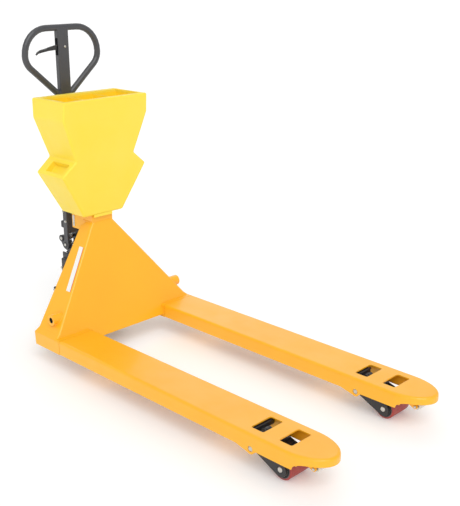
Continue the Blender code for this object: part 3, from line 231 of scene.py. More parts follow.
def painted(name, base, deep, roughness, coat, peel=0.000012, wear_and_sheen=0.0):
    """Paint over steel: orange peel, slow and fine colour drift, and where asked a little bare steel on
    edges, partly wear and partly a painted edge highlight.
    """
    look = Look(name, base, roughness)
    drift = look.noise(3.5, 4)
    look.tint(look.between(drift, 0.42, 0.75, 0.0, 0.35), deep)
    look.tint(look.between(look.noise(60, 5), 0.55, 0.80, 0.0, 0.10), deep)
    # lighter bare steel in patches on the edges: partly paint wear, partly a painted edge highlight
    if wear_and_sheen:
        patchy = look.between(look.noise(95, 6), 0.46, 0.62)
        look.tint(look.math("MULTIPLY", look.math("MULTIPLY", look.edge(0.0014), patchy), wear_and_sheen), ZINC)
    look.rough(look.noise(14, 4), roughness - 0.05, roughness + 0.08)
    look.raise_by(look.noise(420, 2), peel)
    look.surface.inputs["Coat Weight"].default_value = coat
    look.surface.inputs["Coat Roughness"].default_value = 0.12
    return look.done(PAINT_EDGE)


def moulded(name, base, pale, roughness, grain=0.00003, soft=0.0, soften=0.002):
    """Moulded plastic: fine grain, paler rubbed edges, faint flow marks and dust; soft lets light into it."""
    look = Look(name, base, roughness)
    look.tint(look.between(look.noise(5, 5), 0.35, 0.75, 0.0, 0.30), pale)
    look.tint(look.math("MULTIPLY", look.edge(0.003), 0.45), pale)
    look.tint(look.between(look.noise(160, 4), 0.62, 0.85, 0.0, 0.12), pale)
    look.rough(look.noise(22, 4), roughness - 0.06, roughness + 0.10)
    look.raise_by(look.noise(700, 3), grain)
    look.raise_by(look.noise(26, 2), grain * 6)
    if soft:
        look.surface.inputs["Subsurface Weight"].default_value = soft
        look.surface.inputs["Subsurface Radius"].default_value = (0.006, 0.004, 0.001)
        look.surface.inputs["Subsurface Scale"].default_value = 1.0
    return look.done(soften)


def bare_metal(name, base, roughness, stretch, lines=0.000010, tarnish=(0.30, 0.25, 0.16), amount=0.18):
    """Bare or plated metal: tool marks along one axis and a faint tarnish."""
    look = Look(name, base, roughness, 1.0)
    look.tint(look.between(look.noise(18, 5), 0.45, 0.80, 0.0, amount), tarnish)
    marks = look.noise(260, 3, stretch)
    look.rough(marks, roughness - 0.07, roughness + 0.12)
    look.raise_by(marks, lines)
    return look.done(METAL_EDGE)


def rubbery(name, base, dust, roughness):
    """Rubber or cast urethane: matt, with dust in the grain and scuffs on the edges."""
    look = Look(name, base, roughness)
    look.tint(look.between(look.noise(35, 6), 0.48, 0.80, 0.0, 0.35), dust)
    look.tint(look.math("MULTIPLY", look.edge(0.002), 0.35), dust)
    look.rough(look.noise(50, 4), roughness - 0.05, roughness + 0.12)
    look.raise_by(look.noise(900, 3), 0.00002)
    return look.done(PAINT_EDGE)


ROLLER_HUB_SHARE = 0.84


def roller_tread():
    """The load roller: red urethane outside a grey nylon hub, told apart by the distance from the axle."""
    low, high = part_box("load_roller_left")
    centre = (low + high) / 2
    look = Look("red_urethane_look", RED, 0.42)
    look.tint(look.between(look.noise(45, 6), 0.45, 0.80, 0.0, 0.40), (0.50, 0.13, 0.10))
    parts = look.add("ShaderNodeSeparateXYZ")
    look.link(look.place, parts.inputs[0])
    across = look.math("SUBTRACT", parts.outputs["X"], centre.x)
    up = look.math("SUBTRACT", parts.outputs["Z"], centre.z)
    squared = look.math("ADD", look.math("MULTIPLY", across, across), look.math("MULTIPLY", up, up))
    radius = look.math("SQRT", squared)
    hub = (high.z - low.z) / 2 * ROLLER_HUB_SHARE
    look.tint(look.between(radius, hub, hub - 0.0004), HUB_GREY)
    look.rough(look.noise(60, 4), 0.38, 0.52)
    look.raise_by(look.noise(300, 3, (1, 12, 1)), 0.00003)
    return look.done(0.001)


def window_clear():
    """The display's clear cover, with faint smears and a slight waviness."""
    look = Look("clear_window_look", (0.85, 0.90, 0.90), 0.06)
    look.surface.inputs["Transmission Weight"].default_value = 0.92
    look.surface.inputs["IOR"].default_value = 1.45
    look.rough(look.noise(30, 4), 0.03, 0.12)
    look.raise_by(look.noise(8, 2), 0.00004)
    return look.done()


def liquid_crystal():
    """The display's grey-green panel."""
    look = Look("display_glass_look", LCD, 0.25)
    look.tint(look.between(look.noise(20, 3), 0.4, 0.7, 0.0, 0.25), (0.22, 0.30, 0.20))
    look.raise_by(look.noise(1500, 2), 0.000004)
    look.rough(look.noise(40, 3), 0.18, 0.32)
    return look.done()


def circuit_board():
    """A green board with paler tracks, slightly raised."""
    look = Look("board_green_look", BOARD, 0.35)
    tracks = look.add("ShaderNodeTexBrick", Scale=160.0)
    look.link(look.place, tracks.inputs["Vector"])
    look.tint(look.between(tracks.outputs["Fac"], 0.3, 0.7, 0.0, 0.5), (0.10, 0.28, 0.10))
    look.raise_by(tracks.outputs["Fac"], 0.00003)
    return look.done()


FLOOR_GLOW = 0.16


def floor_look():
    """A pale matt floor with a faint mottle and a little glow of its own, as a lit studio sweep has."""
    look = Look("floor_look", FLOOR, 0.60)
    look.tint(look.between(look.noise(1.2, 3), 0.4, 0.7, 0.0, 0.10), (0.88, 0.88, 0.89))
    look.raise_by(look.noise(60, 4), 0.00002)
    look.surface.inputs["Specular IOR Level"].default_value = 0.2
    look.surface.inputs["Emission Color"].default_value = (1, 1, 1, 1)
    look.surface.inputs["Emission Strength"].default_value = FLOOR_GLOW
    return look.done()


LOOKS = {
    "orange_paint": painted("orange_paint_look", ORANGE, ORANGE_DEEP, 0.36, 0.22),
    "black_paint": painted("black_paint_look", BLACK_SATIN, (0.035, 0.035, 0.038), 0.42, 0.15, wear_and_sheen=0.5),
    "grey_paint": painted("grey_paint_look", GREY_SATIN, (0.035, 0.035, 0.040), 0.40, 0.20,
                          peel=0.00003, wear_and_sheen=0.3),
    "yellow_plastic": moulded("yellow_plastic_look", YELLOW, (0.98, 0.80, 0.130), 0.42, soft=0.12),
    "deep_yellow_plastic": moulded("deep_yellow_plastic_look", YELLOW_DEEP, (0.98, 0.76, 0.07), 0.46,
                                   soft=0.10),
    "dark_plastic": moulded("dark_plastic_look", DARK_PLASTIC, (0.09, 0.09, 0.10), 0.50,
                            grain=0.00005, soften=0.001),
    "key_rubber": rubbery("key_rubber_look", KEY_GREY, (0.34, 0.35, 0.36), 0.62),
    "bright_steel": bare_metal("bright_steel_look", ZINC, 0.32, (1, 6, 1)),
    "chrome_rod": bare_metal("chrome_rod_look", CHROME, 0.10, (1, 1, 14), lines=0.000002, amount=0.06),
    "spring_steel": bare_metal("spring_steel_look", SPRING, 0.40, (3, 3, 1),
                               tarnish=(0.05, 0.035, 0.025), amount=0.4),
    "cell_alloy": bare_metal("cell_alloy_look", ALUMINIUM, 0.36, (9, 1, 1), tarnish=(0.55, 0.56, 0.58)),
    "red_urethane": roller_tread(),
    "pale_nylon": moulded("pale_nylon_look", NYLON, (0.86, 0.84, 0.78), 0.45,
                          grain=0.00001, soft=0.15, soften=0.001),
    "black_urethane": rubbery("black_urethane_look", TYRE, (0.075, 0.072, 0.068), 0.60),
    "cast_iron": painted("cast_iron_look", IRON, (0.045, 0.046, 0.050), 0.48, 0.10, peel=0.00009, wear_and_sheen=0.25),
    "clear_window": window_clear(),
    "display_glass": liquid_crystal(),
    "board_green": circuit_board(),
    "cable_black": rubbery("cable_black_look", (0.022, 0.022, 0.024), (0.06, 0.06, 0.06), 0.55),
}
PLUNGER_LOOK = bare_metal("plunger_steel_look", PLUNGER_STEEL, 0.30, (1, 1, 14), lines=0.000003, amount=0.1)
LABEL_LOOK = moulded("label_white_look", LABEL_WHITE, (0.92, 0.92, 0.90), 0.35, grain=0.000004, soften=0)
LABEL_EDGE_LOOK = moulded("label_red_look", LABEL_RED, (0.66, 0.07, 0.05), 0.35, grain=0.000004, soften=0)
SEGMENT_LOOK = moulded("segment_look", SEGMENT, (0.02, 0.025, 0.02), 0.30, grain=0.000002, soften=0)
LAMP_LOOK = moulded("lamp_look", LAMP_GREEN, (0.10, 0.55, 0.12), 0.20, grain=0.000002, soften=0)


def dress_cad_nodes():
    """Each node takes the look of its slot, except the plunger, whose steel is darker than plated rod."""
    for name, item in frame["nodes"].items():
        item.data.materials.clear()
        item.data.materials.append(PLUNGER_LOOK if name == "pump_plunger" else LOOKS[SLOT_OF[name]])


# ---- small fittings ----
SHARP_ANGLE = math.radians(35)


def finished(name, work, look, body, smooth=True):
    """Turns a bmesh into a piece that rides on a body and takes its finish from a slot."""
    bmesh.ops.remove_doubles(work, verts=work.verts, dist=1e-6)
    bmesh.ops.recalc_face_normals(work, faces=work.faces)
    mesh = bpy.data.meshes.new(name)
    work.to_mesh(mesh)
    work.free()
    mesh.materials.append(look)
    if smooth:
        mesh.shade_smooth()
        mesh.set_sharp_from_angle(angle=SHARP_ANGLE)
    made = bpy.data.objects.new(name, mesh)
    bpy.context.scene.collection.objects.link(made)
    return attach(made, body)


def turned_to(place, direction):
    """The matrix that takes +Z to a direction and the origin to a place."""
    turn = Vector((0, 0, 1)).rotation_difference(Vector(direction)).to_matrix().to_4x4()
    return Matrix.Translation(place) @ turn


def joined_to(verts):
    """All the vertices that edges join to the given ones."""
    reached, border = set(), list(verts)
    while border:
        vert = border.pop()
        if vert not in reached:
            reached.add(vert)
            border.extend(edge.other_vert(vert) for edge in vert.link_edges)
    return list(reached)


def edges_of(verts):
    """The edges at the given vertices, each once and in a fixed order."""
    return list(dict.fromkeys(edge for vert in verts for edge in vert.link_edges))


def wire_ring(work, centre, across, other, radius, sides=10):
    """A ring of new vertices round a point, in the plane of two directions."""
    ring = []
    for k in range(sides):
        angle = 2 * math.pi * k / sides
        away = across * radius * math.cos(angle) + other * radius * math.sin(angle)
        ring.append(work.verts.new(centre + away))
    return ring


def skin_rows(work, rows):
    """Closes a tube over its rows of vertices, with a cap at each end."""
    count = len(rows[0])
    for low_row, high_row in zip(rows, rows[1:]):
        for k in range(count):
            after = (k + 1) % count
            work.faces.new((low_row[k], low_row[after], high_row[after], high_row[k]))
    work.faces.new(rows[0])
    work.faces.new(rows[-1])


def add_box(work, low, high, rounding=0.0, segments=3):
    """Adds a rounded box to a bmesh."""
    low, high = Vector(low), Vector(high)
    made = bmesh.ops.create_cube(work, size=1.0)["verts"]
    bmesh.ops.scale(work, vec=high - low, verts=made)
    bmesh.ops.translate(work, vec=(low + high) / 2, verts=made)
    if rounding:
        bmesh.ops.bevel(work, geom=edges_of(made), offset=rounding, segments=segments, affect="EDGES",
                        profile=0.5)


def add_turned(work, profile, place, direction, steps=32):
    """Adds a (radius, height) profile spun about a direction at a place."""
    points = [work.verts.new((radius, 0, height)) for radius, height in profile]
    edges = [work.edges.new(pair) for pair in zip(points, points[1:])]
    if profile[0][0] > 0 and profile[-1][0] > 0:
        edges.append(work.edges.new((points[-1], points[0])))
    bmesh.ops.spin(work, geom=points + edges, cent=(0, 0, 0), axis=(0, 0, 1), angle=2 * math.pi,
                   steps=steps, use_merge=True)
    bmesh.ops.transform(work, matrix=turned_to(place, direction), verts=joined_to(points))


HEX_BEVEL, HEX_WASHER = 0.035, 0.62  # shares of the size across the flats


def add_hex(work, across, height, place, direction):
    """Adds a bolt's hexagon head with chamfered edges, and a washer under it."""
    made = bmesh.ops.create_cone(work, cap_ends=True, segments=6, radius1=across / math.sqrt(3),
                                 radius2=across / math.sqrt(3), depth=height * 0.8)["verts"]
    bmesh.ops.translate(work, vec=(0, 0, height * 0.6), verts=made)
    bevelled = bmesh.ops.bevel(work, geom=edges_of(made), offset=across * HEX_BEVEL, segments=2,
                               affect="EDGES")
    bmesh.ops.transform(work, matrix=turned_to(place, direction), verts=joined_to(bevelled["verts"]))
    washer = across * HEX_WASHER
    add_turned(work, [(0.0, -height * 0.02), (washer, -height * 0.02), (washer, height * 0.2),
                      (washer * 0.9, height * 0.24), (0.0, height * 0.24)], place, direction)


SOCKET_RADIUS, SOCKET_MOUTH, SOCKET_FLOOR = 0.36, 0.42, 0.35  # shares of a screw head's radius and height
DOME_ANGLES = (0.55, 0.75, 0.95, 1.15, 1.35, math.pi / 2)


def add_dome(work, radius, height, place, direction):
    """Adds a button-headed screw with a round socket."""
    profile = [(0.0, height * SOCKET_FLOOR), (radius * SOCKET_RADIUS, height * SOCKET_FLOOR),
               (radius * SOCKET_MOUTH, height * 0.94)]
    profile += [(radius * math.sin(angle), height * math.cos(angle)) for angle in DOME_ANGLES]
    profile += [(radius, -height * 0.1), (0.0, -height * 0.1)]
    add_turned(work, profile, place, direction)


RIM_SOFTNESS = 0.2


def add_ring(work, inner, outer, thickness, place, direction, steps=40):
    """Adds a washer or a circlip with softened rims."""
    soft = min(thickness, outer - inner) * RIM_SOFTNESS
    profile = [(inner + soft, 0), (outer - soft, 0), (outer, soft), (outer, thickness - soft),
               (outer - soft, thickness), (inner + soft, thickness), (inner, thickness - soft), (inner, soft)]
    add_turned(work, profile, place, direction, steps)


BEAD_END_SHARE = 0.45


def add_bead(work, points, radius, ripple=0.18, seed=1.0):
    """Adds a weld bead along points, rippled and with thin ends, or a smooth cable where ripple is 0."""
    places = []
    for start, end in zip(points, points[1:]):
        start, end = Vector(start), Vector(end)
        count = max(1, int((end - start).length / (radius * 0.9))) if ripple else 6
        places += [start.lerp(end, i / count) for i in range(count)]
    places.append(Vector(points[-1]))
    rows = []
    for i, here in enumerate(places):
        ahead = places[min(i + 1, len(places) - 1)] - places[max(i - 1, 0)]
        heading = ahead.normalized()
        upright = abs(heading.z) >= 0.9
        across = heading.orthogonal() if upright else Vector((0, 0, 1)) - heading * heading.z
        across.normalize()
        swell = radius * (1 + ripple * math.sin(i * 2.1 + seed) * math.sin(i * 0.37 + seed))
        if i in (0, len(places) - 1) and ripple:
            swell *= BEAD_END_SHARE
        rows.append(wire_ring(work, here, across, heading.cross(across), swell))
    skin_rows(work, rows)


# ---- frame details; these sizes are the ones that the frame's plates have ----
BULKHEAD_FOOT_X = 0.239
BULKHEAD_LEAN = 0.345
WING_FOOT_HALF = 0.3224
WING_FOOT_Z = 0.139
WING_NARROWING = 0.7626
WING_REAR_X = 0.109
WING_REAR_LEAN = 0.1676
BRACKET_HALF_Y = 0.050
FORK_LOW, FORK_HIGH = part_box("weigh_deck_left")
FORK_TOP = FORK_HIGH.z
FORK_Y = middle_of("weigh_deck_left").y
FORK_HALF = (FORK_HIGH.y - FORK_LOW.y) / 2


def bulkhead_x(z):
    """The bulkhead's front face at a height."""
    return BULKHEAD_FOOT_X - BULKHEAD_LEAN * (z - FORK_TOP)


def wing_half(z):
    """Half the width over the wings at a height."""
    return WING_FOOT_HALF - WING_NARROWING * (z - WING_FOOT_Z)


LABEL_LOW_Z, LABEL_HIGH_Z = 0.270, 0.413
LABEL_PROUD, LABEL_SUNK = 0.0004, 0.0003
LABEL_STRIP = (0.0345, 0.0112)  # its far and near edge, behind the front fold
LABEL_EDGE = (0.0110, 0.0086)


def wing_strip(name, sign, edges, look):
    """A thin label on a wing's flat, between two distances behind the front fold."""
    back, front = edges
    work = bmesh.new()
    lean = math.hypot(1, WING_NARROWING)
    outward = Vector((0, sign / lean, WING_NARROWING / lean))
    outline = ((back, LABEL_LOW_Z), (front, LABEL_LOW_Z), (front, LABEL_HIGH_Z), (back, LABEL_HIGH_Z))
    corners = [spot(bulkhead_x(z) - away, sign * wing_half(z), z) for away, z in outline]
    top = [work.verts.new(corner + outward * LABEL_PROUD) for corner in corners]
    bottom = [work.verts.new(corner - outward * LABEL_SUNK) for corner in corners]
    skin_rows(work, [top, bottom])
    finished(name, work, look, "frame")


WELD_RADIUS = 0.0024
SHAFT_WELD_CIRCLE = 0.0215
SHAFT_WELD_RADIUS = 0.0022


def weld_beads(side, sign):
    """The weld along the bulkhead's foot on one fork, and the one round the rocker shaft's boss."""
    work = bmesh.new()
    inner_y, outer_y = sign * (FORK_Y - FORK_HALF + 0.004), sign * (FORK_Y + FORK_HALF - 0.024)
    foot_x, foot_z = bulkhead_x(FORK_TOP) + 0.0006, FORK_TOP + 0.0004
    add_bead(work, [spot(foot_x, inner_y, foot_z), spot(foot_x, outer_y, foot_z)], WELD_RADIUS, seed=sign)
    boss = middle_of("rocker_shaft")
    ring = []
    for step in range(25):
        angle = math.pi * 2 * step / 24
        z = boss.z + SHAFT_WELD_CIRCLE * math.sin(angle)
        x = boss.x + SHAFT_WELD_CIRCLE * math.cos(angle)
        ring.append(Vector((x, sign * (wing_half(z) + 0.0008), z)))
    add_bead(work, ring, SHAFT_WELD_RADIUS, seed=2 * sign)
    finished("weld_beads_" + side, work, LOOKS["orange_paint"], "frame")


GREASE_NIPPLE = ((0.0, -0.0002), (0.0030, -0.0002), (0.0030, 0.0028), (0.0016, 0.0042), (0.0, 0.0044))


def shaft_end(side, sign):
    """A rocker shaft end's circlip and grease nipple, and a black sleeve and disc in the boss's bore that are
    painted shade for the hole.
    """
    low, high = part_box("rocker_shaft")
    end = (low + high) / 2
    end.y = sign * high.y
    outward = (0, sign, 0)
    work = bmesh.new()
    add_ring(work, 0.0078, 0.0112, 0.0014, end, outward)
    add_turned(work, GREASE_NIPPLE, end, outward, 20)
    finished("shaft_clip_" + side, work, LOOKS["bright_steel"], "frame")
    # painted shade: a black sleeve and disc in the hollow boss stand in for the shadow in its hole, not a
    # real bush
    work = bmesh.new()
    bore = (high.z - low.z) / 2
    add_ring(work, bore - 0.0012, bore - 0.0002, 0.0150, end, outward)
    add_ring(work, 0.0034, bore - 0.0014, 0.0009, end, outward)
    finished("shaft_painted_shade_" + side, work, LOOKS["black_paint"], "frame")


CLAMP_Z = 0.259
CLAMP_INSET = 0.0075
CLAMP_HALF_Y = 0.0065


def cable_clamps():
    """A clamp with two screws behind each wing's rear edge."""
    clamps, heads = bmesh.new(), bmesh.new()
    rear = WING_REAR_X - WING_REAR_LEAN * (CLAMP_Z - WING_FOOT_Z)
    for _, sign in SIDES:
        y = sign * (wing_half(CLAMP_Z) - CLAMP_INSET)
        add_box(clamps, spot(rear - 0.0070, y - CLAMP_HALF_Y, CLAMP_Z - 0.0075),
                spot(rear + 0.0010, y + CLAMP_HALF_Y, CLAMP_Z + 0.0105), 0.0020)
        add_dome(heads, 0.0052, 0.0030, spot(rear - 0.0070, y, CLAMP_Z), (-1, 0, 0))
        side_place = spot(rear - 0.0030, y + sign * CLAMP_HALF_Y, CLAMP_Z - 0.001)
        add_dome(heads, 0.0050, 0.0028, side_place, (0, sign, 0))
    finished("cable_clamps", clamps, LOOKS["cable_black"], "frame")
    finished("clamp_screws", heads, LOOKS["bright_steel"], "frame")


def head_bracket_fittings():
    """A bright plate with a screw on each cheek of the head bracket, and the welds over the cheeks."""
    plates, welds = bmesh.new(), bmesh.new()
    for _, sign in SIDES:
        low_y, high_y = sorted((sign * (BRACKET_HALF_Y - 0.0002), sign * (BRACKET_HALF_Y + 0.0016)))
        add_box(plates, spot(-0.018, low_y, 0.460), spot(-0.006, high_y, 0.505), 0.0006)
        add_dome(plates, 0.0036, 0.0020, spot(-0.012, sign * (BRACKET_HALF_Y + 0.0015), 0.470), (0, sign, 0))
        ends = [spot(x, sign * (BRACKET_HALF_Y + 0.0002), 0.4975) for x in (0.050, 0.108)]
        add_bead(welds, ends, 0.0022, seed=sign)
    finished("bracket_plates", plates, LOOKS["bright_steel"], "frame")
    finished("bracket_welds", welds, LOOKS["orange_paint"], "frame")


def frame_details():
    """Everything small on the frame, first what each wing has."""
    for side, sign in SIDES:
        wing_strip("label_strip_" + side, sign, LABEL_STRIP, LABEL_LOOK)
        wing_strip("label_edge_" + side, sign, LABEL_EDGE, LABEL_EDGE_LOOK)
        weld_beads(side, sign)
        shaft_end(side, sign)
    cable_clamps()
    head_bracket_fittings()


CELL_GAP = 0.0003
CROSS_PLATE_THICKNESS = 0.006
CELL_BOLTS_X = (0.010, 0.025)
CABLE_RADIUS = 0.0019
CABLE_Z = 0.0895


def deck_details():
    """Under the decks: the load cells' bolts and cables."""
    for side, sign in SIDES:
        bolts, cables = bmesh.new(), bmesh.new()
        for place in ("rear", "front"):
            low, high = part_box(f"load_cell_{place}_{side}")
            underside = low.z - CELL_GAP - CROSS_PLATE_THICKNESS
            for away in CELL_BOLTS_X:
                bolt_place = Vector((low.x + away, (low.y + high.y) / 2, underside))
                add_hex(bolts, 0.010, 0.0045, bolt_place, (0, 0, -1))
        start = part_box("load_cell_front_" + side)[0]
        run_y = sign * FORK_Y + 0.0145
        heel_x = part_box("fork_beam_" + side)[0].x + 0.012
        way = [Vector((start.x + 0.002, run_y + 0.006, 0.096)), Vector((start.x - 0.02, run_y, CABLE_Z)),
               Vector((heel_x, run_y, CABLE_Z))]
        add_bead(cables, way, CABLE_RADIUS, ripple=0.0)
        finished("cell_bolts_" + side, bolts, LOOKS["bright_steel"], "frame")
        finished("beam_cable_" + side, cables, LOOKS["cable_black"], "frame")


# ---- pump details ----
PUMP_HALF_Y = 0.040
GUIDE_REAR_X = -0.1435
GUIDE_HALF_Y = 0.034
SPRING_FOOT_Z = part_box("plunger_spring")[0].z
PUMP_PLUGS = (  # size across flats, head height, x, the face's signed y, z
    (0.015, 0.0065, 0.010, PUMP_HALF_Y, 0.352),
    (0.012, 0.0055, -0.030, PUMP_HALF_Y, 0.338),
    (0.015, 0.0065, 0.010, -PUMP_HALF_Y, 0.352),
    (0.012, 0.0055, -0.030, -PUMP_HALF_Y, 0.338),
    (0.013, 0.0060, -0.012, -PUMP_HALF_Y, 0.262),
    (0.017, 0.0070, -0.085, -GUIDE_HALF_Y, 0.258),
    (0.012, 0.0050, -0.085, GUIDE_HALF_Y, 0.258),
)
GLAND_SCREW_CIRCLE = 0.0215
GLAND_SCREWS = 4
FOOT_SCREWS = ((-0.012, 0.130), (0.0, 0.140), (0.012, 0.130))  # x and z, on each side of the pump's foot
FOOT_HALF_Y = 0.044


def pump_screws():
    """The valve plugs, the gland's screws and the screws at the pump's foot."""
    work = bmesh.new()
    for across, height, x, y, z in PUMP_PLUGS:
        add_hex(work, across, height, spot(x, y, z), (0, math.copysign(1, y), 0))
    finished("pump_plugs", work, LOOKS["bright_steel"], "steer_unit")
    work = bmesh.new()
    gland_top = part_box("gland_nut")[1].z
    for i in range(GLAND_SCREWS):
        angle = math.pi / 4 + i * 2 * math.pi / GLAND_SCREWS
        across, along = GLAND_SCREW_CIRCLE * math.cos(angle), GLAND_SCREW_CIRCLE * math.sin(angle)
        add_dome(work, 0.0030, 0.0018, Vector((STEER_X + across, along, gland_top)), (0, 0, 1))
    for _, sign in SIDES:
        for x, z in FOOT_SCREWS:
            add_dome(work, 0.0035, 0.0020, spot(x, sign * FOOT_HALF_Y, z), (0, sign, 0))
    finished("pump_screws", work, LOOKS["bright_steel"], "steer_unit")


def axle_washers():
    """A washer and a circlip outside each steering wheel."""
    work = bmesh.new()
    tyre_y, axle_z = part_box("steer_tyre_left")[1].y, middle_of("steer_axle").z
    for _, sign in SIDES:
        add_ring(work, 0.0104, 0.0185, 0.0022, spot(0, sign * (tyre_y + 0.0008), axle_z), (0, sign, 0))
        add_ring(work, 0.0100, 0.0135, 0.0014, spot(0, sign * (tyre_y + 0.0034), axle_z), (0, sign, 0))
    finished("axle_washers", work, LOOKS["bright_steel"], "steer_unit")


def guide_fittings():
    """On the plunger's guide: the plates beside the spring with their welds, the bolts and the seal."""
    guards, bolts, seal = bmesh.new(), bmesh.new(), bmesh.new()
    for _, sign in SIDES:
        low_y, high_y = sorted((sign * 0.0178, sign * 0.0236))
        add_box(guards, spot(GUIDE_REAR_X, low_y, SPRING_FOOT_Z - 0.0040),
                spot(-0.1000, high_y, SPRING_FOOT_Z + 0.0235), 0.0016)
        ends = [spot(x, sign * 0.0240, SPRING_FOOT_Z - 0.0012) for x in (-0.1400, -0.1030)]
        add_bead(guards, ends, 0.0016, seed=sign)
        add_hex(bolts, 0.010, 0.0060, spot(-0.1360, sign * GUIDE_HALF_Y, 0.2480), (0, sign, 0))
    seal_place = Vector((middle_of("pump_plunger").x, 0, SPRING_FOOT_Z - 0.0008))
    add_ring(seal, 0.0088, 0.0104, 0.0016, seal_place, (0, 0, 1))
    finished("spring_guards", guards, LOOKS["black_paint"], "steer_unit")
    finished("guide_bolts", bolts, LOOKS["bright_steel"], "steer_unit")
    finished("plunger_seal", seal, LOOKS["cable_black"], "steer_unit")


def pump_details():
    """Everything small on the pump and the steering axle."""
    pump_screws()
    axle_washers()
    guide_fittings()


SPRING_WIRE = 0.0014
SPRING_TURNS = 7.5
SPRING_STEPS_A_TURN = 28
SPRING_CLOSED_SHARE = 0.10  # the share of the turns that lie nearly flat at each end
SPRING_CLOSED_RISE = 0.06


def spring_path(middle, bottom, top, radius):
    """The points along the wire's middle."""
    steps = int(SPRING_TURNS * SPRING_STEPS_A_TURN)
    points = []
    for step in range(steps + 1):
        share = step / steps
        level = min(max((share - SPRING_CLOSED_SHARE) / (1 - 2 * SPRING_CLOSED_SHARE), 0.0), 1.0)
        level = level * (1 - SPRING_CLOSED_RISE) + share * SPRING_CLOSED_RISE
        angle = 2 * math.pi * SPRING_TURNS * share
        x, y = middle.x + radius * math.cos(angle), middle.y + radius * math.sin(angle)
        points.append(Vector((x, y, bottom + (top - bottom) * level)))
    return points


def make_spring():
    """The plunger's return spring: a closed-end coil that stands in for the CAD spring."""
    low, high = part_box("plunger_spring")
    middle = (low + high) / 2
    radius = (high.x - low.x) / 2 - SPRING_WIRE
    points = spring_path(middle, low.z + SPRING_WIRE, high.z - SPRING_WIRE, radius)
    work = bmesh.new()
    rows = []
    for i, here in enumerate(points):
        heading = (points[min(i + 1, len(points) - 1)] - points[max(i - 1, 0)]).normalized()
        outward = Vector((here.x - middle.x, here.y - middle.y, 0)).normalized()
        rows.append(wire_ring(work, here, outward, heading.cross(outward), SPRING_WIRE))
    skin_rows(work, rows)
    spring = finished("return_spring", work, LOOKS["spring_steel"], "steer_unit")
    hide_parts("plunger_spring")
    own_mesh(spring)


# ---- handle details ----
YOKE_OUTER_Y = 0.0355
YOKE_TOP_Z = 0.5302
POST_REAR_X, POST_FRONT_X = spot(-0.1095, 0, 0).x, spot(-0.0835, 0, 0).x
POST_HALF_Y = 0.025
LOOP_JOINT = Vector(((POST_REAR_X + POST_FRONT_X) / 2, 0, 0.9745))
LOOP_JOINT_HALF_X, LOOP_JOINT_HALF_Z = 0.0125, 0.0175
YOKE_COLLAR = ((0.0, -0.001), (0.0130, -0.001), (0.0142, 0.0004), (0.0142, 0.0024), (0.0128, 0.0036),
               (0.0086, 0.0036), (0.0080, 0.0028), (0.0, 0.0028))
YOKE_BOLTS = ((-0.0900, 0.459), (-0.1030, 0.500))


def yoke_fittings():
    """The collars and caps on the cam's axle, the pin's washers, the yoke's bolts and its lower bar."""
    pin, cam = middle_of("handle_pin"), middle_of("cam_roller")
    collars, fittings = bmesh.new(), bmesh.new()
    for _, sign in SIDES:
        outward = (0, sign, 0)
        washer_place = Vector((pin.x, sign * (YOKE_OUTER_Y + 0.0001), pin.z))
        add_ring(collars, 0.0066, 0.0125, 0.0014, washer_place, outward)
        add_turned(collars, YOKE_COLLAR, Vector((cam.x, sign * YOKE_OUTER_Y, cam.z)), outward, 40)
        cap_place = Vector((cam.x, sign * (YOKE_OUTER_Y + 0.0028), cam.z))
        add_dome(fittings, 0.0072, 0.0024, cap_place, outward)
        for x, z in YOKE_BOLTS:
            add_hex(fittings, 0.009, 0.0045, spot(x, sign * YOKE_OUTER_Y, z), outward)
    add_box(collars, spot(-0.1295, -0.0345, 0.426), spot(-0.1060, 0.0345, 0.456), 0.0055, 4)
    finished("yoke_collars", collars, LOOKS["black_paint"], "handle")
    finished("yoke_fittings", fittings, LOOKS["bright_steel"], "handle")


def handle_stop():
    """The bright stop on the yoke's lower bar, and the plate that carries it."""
    work = bmesh.new()
    add_box(work, spot(-0.1318, -0.009, 0.432), spot(-0.1085, 0.009, 0.449), 0.0015)
    add_box(work, spot(-0.1110, -0.0075, 0.410), spot(-0.1092, 0.0075, 0.470), 0.0006)
    finished("handle_stop", work, LOOKS["bright_steel"], "handle")


def handle_welds():
    """The welds where the post meets the loop and the yoke."""
    work = bmesh.new()
    for _, sign in SIDES:
        ring = []
        for step in range(17):
            angle = 2 * math.pi * step / 16
            x = LOOP_JOINT.x + LOOP_JOINT_HALF_X * math.cos(angle)
            z = LOOP_JOINT.z + LOOP_JOINT_HALF_Z * math.sin(angle)
            ring.append(Vector((x, sign * (POST_HALF_Y + 0.0004), z)))
        add_bead(work, ring, 0.0018, seed=3 * sign)
        for x in (POST_REAR_X + 0.0004, POST_FRONT_X - 0.0004):
            add_bead(work, [Vector((x, sign * POST_HALF_Y, z)) for z in (0.452, 0.527)], 0.0012, seed=x)
        ends = [Vector((x, sign * (POST_HALF_Y + 0.0012), YOKE_TOP_Z))
                for x in (POST_REAR_X + 0.004, POST_FRONT_X - 0.004)]
        add_bead(work, ends, 0.0020, seed=5 * sign)
    finished("handle_welds", work, LOOKS["grey_paint"], "handle")


def handle_details():
    """Everything small on the handle, with the heads of the trigger's pin."""
    yoke_fittings()
    handle_stop()
    handle_welds()
    trigger = middle_of("trigger_pin")
    work = bmesh.new()
    for x, way in ((POST_REAR_X, -1), (POST_FRONT_X, 1)):
        add_dome(work, 0.0048, 0.0026, Vector((x, trigger.y, trigger.z)), (way, 0, 0))
    finished("trigger_pin_heads", work, LOOKS["bright_steel"], "handle")


# ---- roller details ----
LIP_SEAL = (0.0102, 0.0192, 0.0016, 0.0014)  # inner and outer radius, thickness, how far it is let in
HUB_RING = (0.0240, 0.0300, 0.0008, 0.0003)
WEB_HALF_Y = 0.0512
ROD_YOKE_HALF_Y = 0.0495


